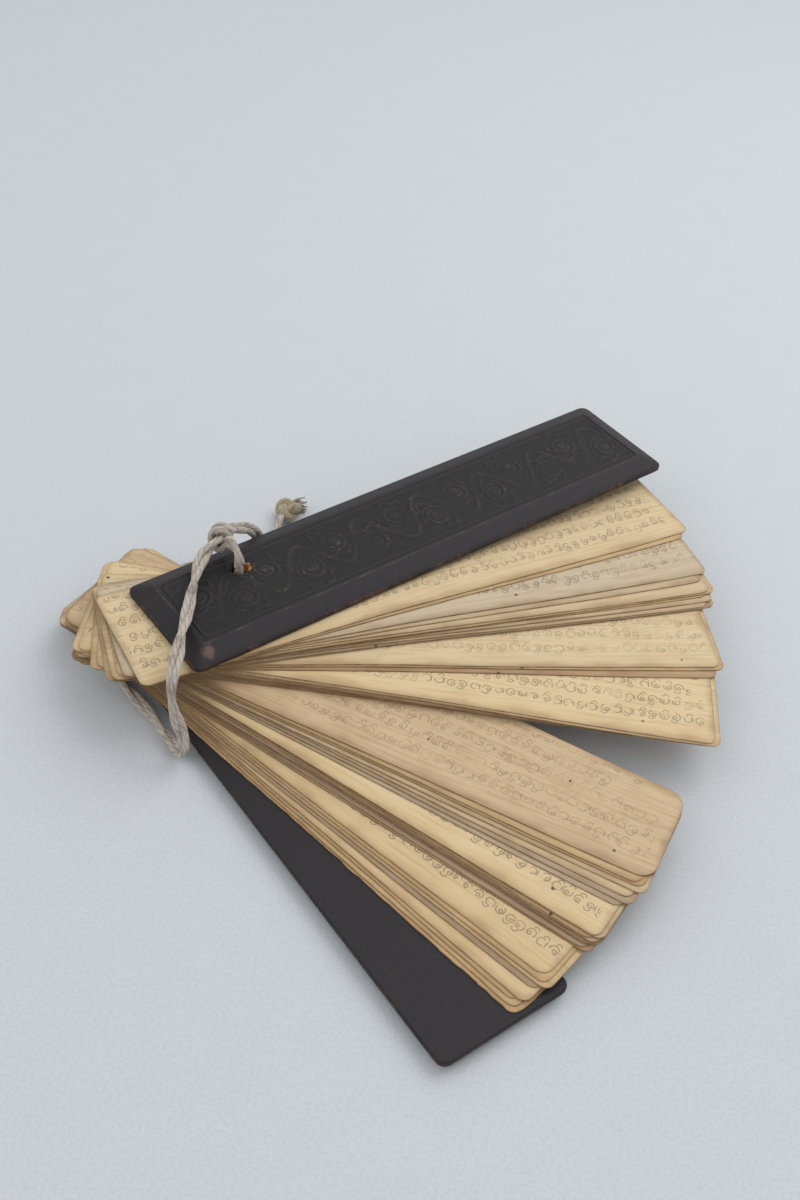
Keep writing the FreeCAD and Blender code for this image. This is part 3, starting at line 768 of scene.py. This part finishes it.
@dataclass(frozen=True)
class Scrollwork:
    """The carved vine inside a cover's border: a waving stem, spirals and buds, in millimetres."""

    half_length_mm: float = 113.0
    half_width_mm: float = 25.0
    wave_mm: float = 29.5
    swing_mm: float = 9.4
    spiral_reach_mm: float = 6.3
    spiral_pitch_mm: float = 2.5
    spiral_aside_mm: float = 4.6
    warp_mm: float = 1.5
    bud_mm: float = 1.1
    lobe_start_mm: float = 1.9
    lobe_swing_mm: float = 1.2
    lobes: float = 7.0
    ridge_mm: float = 0.95
    hidden_mm: float = 4.0

    def height(self, x: float, y: float) -> float:
        """Returns how high the carving stands at a place measured from the cover's middle.

        Args:
            x: Place along the cover in millimetres.
            y: Place across the cover in millimetres.

        Returns:
            0 in the ground of the carving and 1 on its ridges.
        """
        warps = [noise.noise(Vector((x * 0.05, y * 0.08, layer))) for layer in (3.0, 9.0)]
        x, y = x + self.warp_mm * warps[0], y + self.warp_mm * warps[1]
        angle = math.tau * x / self.wave_mm
        slope = self.swing_mm * math.tau / self.wave_mm * math.cos(angle)
        stem = abs(y - self.swing_mm * math.sin(angle)) / math.hypot(1.0, slope)
        half = math.floor(x / self.wave_mm * 2)
        side = 1.0 if half % 2 == 0 else -1.0
        dx, dy = x - (half + 0.5) * self.wave_mm / 2, y * side + self.spiral_aside_mm
        reach = math.hypot(dx, dy)
        around = math.atan2(dy, dx) / math.tau
        turns = reach / self.spiral_pitch_mm - around
        curl = abs(turns - round(turns)) * self.spiral_pitch_mm
        past = reach - self.spiral_reach_mm
        curl += self.hidden_mm * smoothstep(-0.5, 0.5, past)
        bud = max(reach - self.bud_mm, 0.0)
        swing = self.lobe_swing_mm * math.cos(self.lobes * around * math.tau + half)
        leaves = abs(past - self.lobe_start_mm - swing) + (0.0 if past > 0.0 else self.hidden_mm)
        nearest = min(stem * 0.8, curl, bud, leaves)
        worn = 0.7 + 0.9 * noise.noise(Vector((x * 0.09, y * 0.13, 0.0)))
        ridge = 1.0 - smoothstep(self.ridge_mm * 0.3, self.ridge_mm, nearest)
        return min(max(worn, 0.15), 1.0) * ridge


@dataclass
class CarvedCover:
    """One wooden cover with a bevelled, bordered and carved face, drawn in millimetres."""

    node: str
    body: str
    hole: Vector
    turn: float
    outer_up: bool
    carving: Scrollwork = field(default_factory=Scrollwork)
    thickness_mm: float = COVER_MM
    rim_mm: float = 2.2
    bevel_run_mm: float = 7.2
    corner_mm: float = 3.4
    face_corner_mm: float = 1.4
    hole_to_short_mm: float = 39.0
    hole_to_far_mm: float = 14.8
    hole_radius_mm: float = 3.4
    bevel_stops_mm: tuple[float, ...] = (0.0, 0.2, 0.6, 2.0, 3.7, 5.4, 6.6, 7.0, 7.2, 7.4, 7.9)
    border_stops_mm: tuple[float, ...] = (8.4, 8.55, 8.8, 9.1, 9.35, 9.5)
    worn_rim_mm: float = 0.28
    crease_mm: float = 0.14
    border_mm: tuple[float, float] = (8.5, 9.4)
    border_depth_mm: float = 0.28
    border_soft_mm: float = 0.12
    carving_start_mm: float = 10.0
    carving_depth_mm: float = 0.3
    step_mm: float = 0.45
    chipped_mm: float = 0.9
    softened_mm: float = 0.4
    channel_radius_mm: float = 2.2
    channel_height_mm: float = 2.05

    @property
    def middle(self) -> Vector:
        """Returns the cover's middle, measured from the hole in millimetres."""
        along = self.carving.half_length_mm - self.hole_to_short_mm
        return Vector((along, self.hole_to_far_mm - self.carving.half_width_mm))

    def stops(self, length: float) -> list[float]:
        """Returns the grid lines along one side, close together at the bevel and the border."""
        near = [*self.bevel_stops_mm, *self.border_stops_mm]
        free = length - 2 * self.carving_start_mm
        count = round(free / self.step_mm)
        middle = [self.carving_start_mm + free * index / count for index in range(count + 1)]
        return near + middle + [length - stop for stop in reversed(near)]

    def corner_radius(self, inset: float) -> float:
        """Returns the corner's radius on the line that lies that far inside the outline."""
        share = min(inset / self.bevel_run_mm, 1.0)
        return self.corner_mm + (self.face_corner_mm - self.corner_mm) * share

    def rounded(self, x: float, y: float) -> tuple[float, float]:
        """Moves a point, given by its distances from two sides, onto its rounded line."""
        inset, other = min(x, y), max(x, y)
        radius = self.corner_radius(inset)
        if other >= inset + radius:
            return x, y
        swing = math.radians(45.0) * (1.0 + (other - inset) / radius)
        low = inset + radius * (1.0 - math.sin(swing))
        high = inset + radius * (1.0 - math.cos(swing))
        return (low, high) if x < y else (high, low)

    def outer_height(self, inset: float, x: float, y: float) -> tuple[float, float]:
        """Returns the outer face's height over the inner one, and the carving's share of it.

        Args:
            inset: Distance from the outline in millimetres.
            x: Place along the cover from the hole.
            y: Place across the cover from the hole.
        """
        rise = self.thickness_mm - self.rim_mm
        height = self.rim_mm + rise * min(inset / self.bevel_run_mm, 1.0)
        height -= self.worn_rim_mm * (1.0 - smoothstep(0.0, 0.6, inset))
        height -= self.crease_mm * math.exp(-(((inset - self.bevel_run_mm) / 0.4) ** 2))
        soft = self.border_soft_mm
        begun, ended = (smoothstep(side - soft, side + soft, inset) for side in self.border_mm)
        groove = begun * (1.0 - ended)
        height -= self.border_depth_mm * groove
        relief = 1.0 - 0.85 * groove
        carved = inset - self.carving_start_mm
        if carved > -0.05:
            pattern = self.carving.height(x - self.middle.x, y - self.middle.y)
            inside = smoothstep(-0.05, 0.7, carved)
            relief = 1.0 - inside * (1.0 - pattern)
            height -= self.carving_depth_mm * (1.0 - relief)
        reach = math.hypot(x, y)
        ragged = 1.0 + noise.noise(Vector((x * 0.5, y * 0.5, 5.0)))
        wear = self.hole_radius_mm + self.chipped_mm * ragged - reach
        height -= 0.8 * max(wear, 0.0)
        if not self.outer_up and y > 0.0 and abs(x) < self.channel_radius_mm:
            crown = self.channel_height_mm + math.sqrt(self.channel_radius_mm**2 - x * x)
            height = min(height, self.thickness_mm - crown)
        return height, relief

    def shape_face(self, bm: bmesh.types.BMesh) -> Plans:
        """Makes the outer face from a grid and returns each vertex's plan coordinates."""
        length, width = 2 * self.carving.half_length_mm, 2 * self.carving.half_width_mm
        columns, rows = self.stops(length), self.stops(width)
        last_column, last_row = len(columns) - 1, len(rows) - 1
        bmesh.ops.create_grid(bm, x_segments=last_column, y_segments=last_row, size=1.0)
        inset_layer = bm.verts.layers.float.new(EDGE_MM)
        relief_layer = bm.verts.layers.float.new(RELIEF)
        plans = {}
        for vert in bm.verts:
            x = columns[round((vert.co.x + 1) / 2 * last_column)]
            y = rows[round((vert.co.y + 1) / 2 * last_row)]
            inset = min(x, length - x, y, width - y)
            to_x, to_y = self.rounded(min(x, length - x), min(y, width - y))
            x = to_x if x < length / 2 else length - to_x
            y = to_y if y < width / 2 else width - to_y
            x -= self.hole_to_short_mm
            y -= width - self.hole_to_far_mm
            height, relief = self.outer_height(inset, x, y)
            vert[inset_layer] = inset
            vert[relief_layer] = relief
            vert.co = Vector((x, y, height))
            plans[vert] = (x / PLAN_UNIT, y / PLAN_UNIT)
        return plans

    def close(self, bm: bmesh.types.BMesh, plans: Plans) -> None:
        """Opens the hole, drops the rim and the hole's wall to the inner face and fills that.

        Args:
            bm: The bmesh with the outer face.
            plans: Gets the plan coordinates of each new vertex.
        """
        inner = [vert for vert in bm.verts if vert.co.xy.length < self.hole_radius_mm * 0.93]
        bmesh.ops.delete(bm, geom=inner, context="VERTS")
        for vert in bm.verts:
            if vert.is_boundary and vert.co.xy.length < self.hole_radius_mm * 2:
                spot = vert.co.xy.normalized() * self.hole_radius_mm
                vert.co = Vector((spot.x, spot.y, vert.co.z))
        open_edges = [edge for edge in bm.edges if edge.is_boundary]
        shrink = Vector((1.0 / self.carving.half_length_mm, 1.0 / self.carving.half_width_mm))
        inset_layer = bm.verts.layers.float[EDGE_MM]
        for height, drawn_in in ((self.softened_mm, 0.0), (0.0, self.softened_mm)):
            dropped = bmesh.ops.extrude_edge_only(bm, edges=open_edges)["geom"]
            for vert in dropped:
                if isinstance(vert, bmesh.types.BMVert):
                    spot = vert.co.xy - drawn_in * (vert.co.xy - self.middle) * shrink
                    plans[vert] = tuple(spot / PLAN_UNIT)
                    vert.co = Vector((spot.x, spot.y, height))
                    vert[inset_layer] = 0.0 if height else self.bevel_run_mm / 2
            open_edges = [edge for edge in dropped if isinstance(edge, bmesh.types.BMEdge)]
        bmesh.ops.triangle_fill(bm, use_beauty=True, use_dissolve=False, edges=open_edges)
        for edge in open_edges:
            edge.smooth = False

    def build(self, material: bpy.types.Material) -> None:
        """Builds the cover and puts it in its solid's place.

        Args:
            material: The covers' finish.
        """
        bm = bmesh.new()
        plans = self.shape_face(bm)
        self.close(bm, plans)
        set_plan(bm, plans)
        turn = Matrix.Rotation(self.turn, 4, "Z")
        side = 1.0 if self.outer_up else -1.0
        for vert in bm.verts:
            height = self.hole.z + side * vert.co.z * MM
            place = turn @ Vector((vert.co.x * MM, vert.co.y * MM, 0.0))
            vert.co = Vector((self.hole.x + place.x, self.hole.y + place.y, height))
        bmesh.ops.recalc_face_normals(bm, faces=bm.faces)
        piece = finish_mesh(f"carved_{self.node}", bm, material)
        hand_over(piece, self.body, CoverFinish.slot, self.node)


@dataclass
class Covers:
    """The two wooden covers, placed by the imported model's hinges."""

    finish: CoverFinish = field(default_factory=CoverFinish)

    def build(self) -> None:
        """Builds both covers."""
        material = self.finish.material()
        top = HINGES["top_cover_body"]
        bottom_hole, top_hole = Vector(HINGES["leaf_01_body"]["pos_m"]), Vector(top["pos_m"])
        bottom_hole.z = COVER_MM * MM
        turn = math.radians(BOTTOM_DEGREES)
        top_turn = math.radians(BOTTOM_DEGREES - top["range_deg"][0])
        bottom = CarvedCover("bottom_cover", ROOT_BODY, bottom_hole, turn, outer_up=False)
        upper = CarvedCover("top_cover", top["child"], top_hole, top_turn, outer_up=True)
        bottom.build(material)
        upper.build(material)
        log.info("built the covers")


def spline_points(points: list[Vector]) -> list[Vector]:
    """Returns closely spaced points of the smooth line through a route's control points."""
    curve = bpy.data.curves.new("route", "CURVE")
    curve.dimensions = "3D"
    spline = curve.splines.new("NURBS")
    spline.points.add(len(points) - 1)
    for target, point in zip(spline.points, points):
        target.co = (*point, 1.0)
    spline.order_u = 3
    spline.use_endpoint_u = True
    spline.resolution_u = 24
    holder = bpy.data.objects.new("route", curve)
    mesh = bpy.data.meshes.new_from_object(holder)
    line = [vert.co.copy() for vert in mesh.vertices]
    bpy.data.meshes.remove(mesh)
    bpy.data.objects.remove(holder)
    bpy.data.curves.remove(curve)
    return line


def lengths_along(line: list[Vector]) -> list[float]:
    """Returns the length of a line of points up to each of them."""
    return list(accumulate(((end - start).length for start, end in zip(line, line[1:])), initial=0.0))


def resample(line: list[Vector], step: float) -> list[Vector]:
    """Returns points about a step apart along a line, both ends kept."""
    lengths = lengths_along(line)
    total = lengths[-1]
    count = max(int(total / step), 2)
    result, index = [], 0
    for number in range(count + 1):
        place = total * number / count
        while index < len(lengths) - 2 and lengths[index + 1] < place:
            index += 1
        span = max(lengths[index + 1] - lengths[index], 1e-9)
        result.append(line[index].lerp(line[index + 1], (place - lengths[index]) / span))
    return result


def line_length(line: list[Vector]) -> float:
    """Returns the length of a line of points."""
    return lengths_along(line)[-1]


def frames_along(line: list[Vector]) -> list[tuple[Vector, Vector]]:
    """Returns two cross directions at each point, carried along the line without twist."""
    tangents = []
    for index in range(len(line)):
        before, after = line[max(index - 1, 0)], line[min(index + 1, len(line) - 1)]
        tangents.append((after - before).normalized())
    side = tangents[0].orthogonal().normalized()
    result = []
    for tangent in tangents:
        side = (side - tangent * side.dot(tangent)).normalized()
        result.append((side, tangent.cross(side)))
    return result


def add_tube(
    bm: bmesh.types.BMesh,
    line: list[Vector],
    radius: Callable[[float], float],
    plan: Plans,
    sides: int = 12,
) -> None:
    """Adds one round tube along a line, with lengths along and round it as plan coordinates.

    Args:
        bm: The bmesh that gets the tube.
        line: The tube's centre line.
        radius: A function from the share of the length to the tube's radius.
        plan: Gets the plan coordinates of each new vertex.
        sides: Number of the tube's sides.
    """
    last = len(line) - 1
    sheet = bmesh.ops.create_grid(bm, x_segments=last, y_segments=sides, size=1.0)["verts"]
    directions, lengths = frames_along(line), lengths_along(line)
    ends: dict[int, list[bmesh.types.BMVert]] = {0: [], last: []}
    for vert in sheet:
        index = round((vert.co.x + 1) / 2 * last)
        number = round((vert.co.y + 1) / 2 * sides)
        side, up = directions[index]
        angle = math.tau * number / sides
        outward = side * math.cos(angle) + up * math.sin(angle)
        vert.co = line[index] + outward * radius(index / last)
        plan[vert] = (lengths[index] / MM / 10, number / sides)
        if index in ends and number < sides:
            ends[index].append(vert)
    for ring in ends.values():
        bm.faces.new(sorted(ring, key=lambda vert: plan[vert][1]))


@dataclass
class TwistedCord:
    """Two cotton plies laid loosely round each other along a route, with stray hairs."""

    diameter: float = 3.8 * MM
    lay_length: float = 52.0 * MM
    lay_change: float = 1.3
    step: float = 0.7 * MM
    ply_radius: float = 1.25 * MM
    ply_offset: float = 1.16 * MM
    loose: float = 0.25
    lump_length: float = 9.0 * MM
    lump_share: float = 0.06
    hair_gap: float = 2.4 * MM
    hair_reach: float = 0.45
    hair_radius: float = 0.055 * MM
    seed: int = 1

    def ply_line(self, line: list[Vector], ply: int) -> list[Vector]:
        """Returns the centre line of one ply.

        Args:
            line: The cord's own centre line.
            ply: 0 or 1.
        """
        path = []
        for index, (centre, (side, up)) in enumerate(zip(line, frames_along(line))):
            place = index * self.step
            change = noise.noise(Vector((place / MM * 0.03, self.seed * 5.1, 0.0)))
            turn = math.tau * (place / self.lay_length + ply / 2) + self.lay_change * change
            gap = noise.noise(Vector((place / MM * 0.06, self.seed * 2.3, 4.0)))
            spread = self.ply_offset * (1.0 + self.loose * gap)
            path.append(centre + (side * math.cos(turn) + up * math.sin(turn)) * spread)
        return path

    def add_hairs(
        self, bm: bmesh.types.BMesh, path: list[Vector], plan: Plans, chooser: random.Random
    ) -> None:
        """Adds short stray fibres that stand off a ply.

        Args:
            bm: The bmesh that gets the fibres.
            path: The ply's centre line.
            plan: Gets the plan coordinates of each new vertex.
            chooser: The source of the fibres' places and lengths.
        """
        directions = frames_along(path)
        every = max(int(self.hair_gap / self.step), 1)
        for index in range(2, len(path) - 3, every):
            side, up = directions[index]
            angle = chooser.uniform(0.0, math.tau)
            outward = side * math.cos(angle) + up * math.sin(angle)
            ahead = (path[index + 1] - path[index]).normalized() * chooser.choice((-1.0, 1.0))
            reach = chooser.uniform(0.6, 2.2) * MM
            root = path[index] + outward * self.ply_radius * 0.9
            lift = self.hair_reach * outward
            hair = [root + (ahead + lift * share) * reach * share for share in (0.0, 0.5, 1.0)]
            add_tube(bm, hair, lambda share: self.hair_radius * (1.1 - share), plan, sides=3)

    def build(
        self, name: str, points: list[Vector], material: bpy.types.Material
    ) -> tuple[bpy.types.Object, list[Vector]]:
        """Builds the two plies of one stretch of cord.

        Args:
            name: The piece's name.
            points: The route's control points.
            material: The cotton.

        Returns:
            The piece and the line that it follows.
        """
        line = resample(spline_points(points), self.step)
        bm = bmesh.new()
        plan: Plans = {}
        chooser = random.Random(self.seed)
        waves = 6.0 * line_length(line) / self.lump_length
        for ply in range(2):
            path = self.ply_line(line, ply)
            phase = chooser.uniform(0.0, 6.0)

            def radius(share: float, phase: float = phase) -> float:
                """Returns the ply's radius, with slight lumps along it."""
                return self.ply_radius * (1.0 + self.lump_share * math.sin(waves * share + phase))

            add_tube(bm, path, radius, plan)
            self.add_hairs(bm, path, plan, chooser)
        set_plan(bm, plan)
        bmesh.ops.recalc_face_normals(bm, faces=bm.faces)
        return finish_mesh(name, bm, material), line


@dataclass
class Knot:
    """The overhand knot that stops the cord and the short frayed tuft behind it."""

    start: Vector
    ahead: Vector
    strand_radius: float = 2.1 * MM
    loop_scale: float = 1.4 * MM
    loop_ahead: float = 4.6 * MM
    loop_steps: int = 96
    tuft_ahead: float = 6.6 * MM
    tuft_strands: int = 46
    table_gap: float = 0.8 * MM
    seed: int = 5

    def point(self, ahead: float, aside: float, lift: float) -> Vector:
        """Returns a point measured from the knot's start along, across and over its direction."""
        return self.start + self.ahead * ahead + self.ahead.cross(UP) * aside + UP * lift

    def loop_line(self) -> list[Vector]:
        """Returns the closed line of the overhand knot, lying flat on the table."""
        line = []
        for number in range(self.loop_steps + 1):
            angle = math.tau * number / self.loop_steps
            along = (math.sin(angle) + 2.0 * math.sin(2.0 * angle)) * self.loop_scale
            aside = (math.cos(angle) - 2.0 * math.cos(2.0 * angle)) * self.loop_scale * 0.92
            lift = -math.sin(3.0 * angle) * self.loop_scale * 1.15
            line.append(self.point(self.loop_ahead + along, aside, lift))
        return line

    def strand(self, chooser: random.Random) -> list[Vector]:
        """Returns one strand of the tuft, which spreads and droops to the table."""
        spread_side, spread_up = chooser.gauss(0, 1.0), chooser.gauss(0, 0.8)
        reach = chooser.uniform(3.4, 7.4) * MM
        line = []
        for step in range(8):
            share = step / 7
            aside_mm = spread_side * (0.9 + 1.5 * share * share)
            aside_mm += 0.5 * math.sin(share * 4.0 + spread_side * 5.0)
            lift_mm = spread_up * (0.8 + share) - 1.6 * share * share
            point = self.point(self.tuft_ahead + reach * share, aside_mm * MM, lift_mm * MM)
            point.z = max(point.z, self.table_gap)
            line.append(point)
        return line

    def build(self, material: bpy.types.Material) -> bpy.types.Object:
        """Builds the knot and its tuft as one piece.

        Args:
            material: The old cotton.
        """
        bm = bmesh.new()
        plan: Plans = {}
        add_tube(bm, self.loop_line(), lambda share: self.strand_radius, plan)
        chooser = random.Random(self.seed)
        for _ in range(self.tuft_strands):
            thick = chooser.uniform(0.35, 0.75) * MM
            strand = self.strand(chooser)
            add_tube(bm, strand, lambda share, thick=thick: thick * (1.0 - 0.45 * share), plan, sides=6)
        set_plan(bm, plan)
        bmesh.ops.recalc_face_normals(bm, faces=bm.faces)
        return finish_mesh("knot_and_frayed_end", bm, material)


@dataclass
class CordParts:
    """The whole cord: the stretch in the book, the hitch, the free stretch, the knot and its end."""

    hole: Vector
    lean_mm: Vector = field(default_factory=lambda: Vector((4.9, 8.8, 0.0)))
    turn: float = math.radians(BOTTOM_DEGREES)
    top_base_mm: float = 29.66
    table_mm: float = 2.8
    hitch_mm: Triple = (-3.0, 18.0, 41.2)
    hitch_radius_mm: float = 3.75
    hitch_shifts_mm: tuple[float, ...] = (-2.4, -2.0, -1.4, -0.6, 0.2, 1.0, 1.6)
    main_direction: Triple = (0.42, 0.91, 0.0)
    knot_start_mm: Triple = (11.6, 78.6, 4.1)
    knot_direction: Triple = (0.55, 0.835, 0.0)

    def from_hole(self, x: float, y: float, z: float) -> Vector:
        """Returns a point measured in millimetres from the bottom cover's hole."""
        return Vector((self.hole.x + x * MM, self.hole.y + y * MM, z * MM))

    def beside_hole(self, ahead: float, aside: float, z: float) -> Vector:
        """Returns a point measured along and across the bottom cover, in millimetres."""
        cosine, sine = math.cos(self.turn), math.sin(self.turn)
        return self.from_hole(ahead * cosine - aside * sine, ahead * sine + aside * cosine, z)

    def core_route(self) -> list[Vector]:
        """Returns the route from the worn channel up through the stack."""
        lean = self.lean_mm
        return [
            self.beside_hole(0.0, 8.2, self.table_mm),
            self.beside_hole(0.0, 4.4, self.table_mm),
            self.beside_hole(0.0, 1.0, 4.6),
            self.beside_hole(-0.3, 0.7, 8.6),
            self.from_hole(lean.x, lean.y, self.top_base_mm - 1.4),
            self.from_hole(lean.x, lean.y, self.top_base_mm + 6.2),
        ]

    def hitch_point(self, degrees: float, shift_mm: float) -> Vector:
        """Returns a corner of the hitch round the main strand, an eighth turn from the next one."""
        ahead = Vector(self.main_direction).normalized()
        side = ahead.cross(UP)
        reach = self.hitch_radius_mm / math.cos(math.tau / 16)
        turn = math.radians(degrees)
        offset = side * (reach * math.cos(turn)) + UP * (reach * math.sin(turn))
        return self.from_hole(*(Vector(self.hitch_mm) + offset + ahead * shift_mm))

    def top_route(self) -> list[Vector]:
        """Returns the route out of the top cover's hole and round the main strand."""
        lean, top = self.lean_mm, self.top_base_mm + 6.2
        points = [
            self.from_hole(lean.x, lean.y, top),
            self.from_hole(lean.x, lean.y, top + 4.2),
            self.from_hole(2.7, 11.3, 43.0),
            self.from_hole(-0.3, 15.0, 42.2),
        ]
        for turn, shift in enumerate(self.hitch_shifts_mm):
            points.append(self.hitch_point(-45.0 * (turn + 1.5), shift))
        return points

    def main_route(self) -> list[Vector]:
        """Returns the free stretch's route: round the short end, over the book and to the knot."""
        beside = [
            (0.0, 8.2), (0.25, 15.6), (0.0, 22.6), (-3.2, 28.6), (-9.0, 33.0), (-17.5, 34.8),
            (-26.5, 33.0), (-34.5, 28.0), (-41.0, 21.0), (-45.5, 11.5), (-47.8, 0.0), (-48.2, -11.5),
        ]
        table = [
            (-50.0, 22.5), (-55.8, 13.0), (-57.0, 3.0), (-51.5, -6.0), (-43.0, -14.5), (-34.0, -24.5),
            (-25.5, -33.6), (-17.5, -42.0), (-10.8, -50.6),
        ]
        over = [
            (-5.6, -57.3, 3.6), (-3.8, -57.8, 10.6), (-5.8, -57.2, 18.8), (-7.9, -56.6, 26.5),
            (-8.6, -54.8, 33.8), (-8.4, -47.6, 38.5), (-8.6, -36.0, 38.6), (-8.9, -20.0, 38.3),
            (-9.3, -4.0, 38.3), (-8.8, 7.0, 39.6),
        ]
        down = [
            (-0.6, 23.2, 41.0), (1.8, 27.4, 38.2), (5.0, 31.8, 34.8), (7.2, 37.2, 28.0),
            (8.0, 42.4, 18.9), (9.2, 49.4, 10.8), (10.8, 59.5, 5.2), (11.8, 69.5, 3.9),
        ]
        ahead, hitch = Vector(self.main_direction).normalized(), Vector(self.hitch_mm)
        points = [self.beside_hole(a, b, self.table_mm) for a, b in beside]
        points += [self.from_hole(x, y, self.table_mm) for x, y in table]
        points += [self.from_hole(*point) for point in over]
        points += [self.from_hole(*(hitch - ahead * 6.5)), self.from_hole(*(hitch + ahead * 2.6))]
        points += [self.from_hole(*point) for point in down]
        return points + [self.from_hole(*self.knot_start_mm)]

    def build(self) -> None:
        """Builds every stretch of the cord."""
        finish = CordFinish()
        old_colours = {"thread": (0.52, 0.43, 0.29, 1.0), "shade": (0.24, 0.175, 0.1, 1.0)}
        old_finish = CordFinish("knot_cotton", **old_colours)
        cotton = finish.material()
        tight = TwistedCord(lay_length=16.0 * MM, ply_radius=1.05 * MM, ply_offset=0.85 * MM, seed=2)
        core, _ = tight.build("cord_in_the_book", self.core_route(), cotton)
        hand_over(core, ROOT_BODY, finish.slot, "cord_core")
        cord = TwistedCord()
        top, top_line = cord.build("hitching_strand", self.top_route(), cotton)
        hand_over(top, ROOT_BODY, finish.slot, "cord_top_strand")
        main, main_line = cord.build("main_strand", self.main_route(), cotton)
        hand_over(main, ROOT_BODY, finish.slot, "cord_main_strand")
        ahead = Vector(self.knot_direction).normalized()
        knot = Knot(self.from_hole(*self.knot_start_mm), ahead).build(old_finish.material())
        hand_over(knot, ROOT_BODY, old_finish.slot, "cord_knot", "cord_frayed_end")
        line_length(main_line)
        line_length(top_line)
        log.info("built the cord")


@dataclass
class Studio:
    """Floor, soft lights and the camera at the photograph's angle."""

    camera_place: Vector = field(default_factory=lambda: Vector((0.0263, -0.3094, 0.379)))
    pitch_degrees: float = 42.69
    roll_degrees: float = 5.81
    lens_mm: float = 41.61
    sensor_mm: float = 36.0
    nearest_seen: float = 0.01
    floor_half_width: float = 4.0
    sky: Colour = (0.96, 0.98, 1.0, 1.0)
    sky_power: float = 0.74
    lamps: tuple[tuple[str, Triple, float, float], ...] = (
        ("window", (0.55, 0.5, 0.95), 0.9, 4.7),
        ("fill", (-0.9, -0.5, 1.3), 1.3, 3.0),
    )

    def lamp(self, name: str, place: Vector, width: float, power: float) -> None:
        """Adds one square soft lamp that faces the book.

        Args:
            name: The lamp's name.
            place: Where it hangs.
            width: The length of its sides.
            power: Its power in watts.
        """
        data = bpy.data.lights.new(name, "AREA")
        data.size = width
        data.energy = power
        lamp = bpy.data.objects.new(name, data)
        lamp.location = place
        lamp.rotation_euler = (-place).to_track_quat("-Z", "Y").to_euler()
        bpy.context.scene.collection.objects.link(lamp)

    def build(self) -> None:
        """Builds the studio round the book."""
        bm = bmesh.new()
        bmesh.ops.create_grid(bm, x_segments=1, y_segments=1, size=self.floor_half_width)
        finish_mesh("paper_floor", bm, FloorFinish().material())
        world = bpy.data.worlds.new("soft_room")
        world.use_nodes = True
        background = world.node_tree.nodes["Background"]
        background.inputs["Color"].default_value = self.sky
        background.inputs["Strength"].default_value = self.sky_power
        bpy.context.scene.world = world
        for name, place, width, power in self.lamps:
            self.lamp(name, Vector(place), width, power)
        data = bpy.data.cameras.new("camera")
        data.lens = self.lens_mm
        data.sensor_width = self.sensor_mm
        data.clip_start = self.nearest_seen
        camera = bpy.data.objects.new("camera", data)
        turn = Matrix.Rotation(math.radians(90.0 - self.pitch_degrees), 4, "X")
        turn = turn @ Matrix.Rotation(math.radians(self.roll_degrees), 4, "Z")
        camera.matrix_world = Matrix.Translation(self.camera_place) @ turn
        bpy.context.scene.collection.objects.link(camera)
        bpy.context.scene.camera = camera
        bpy.context.scene.view_settings.view_transform = "Standard"


def main() -> None:
    """Builds the manuscript and its studio."""
    logging.basicConfig(level=logging.INFO)
    Studio().build()
    hole = Vector(HINGES["leaf_01_body"]["pos_m"])
    hole.z = 0.0
    CordParts(hole=hole).build()
    LeafStack().build()
    Covers().build()
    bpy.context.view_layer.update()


if __name__ == "__main__":
    main()
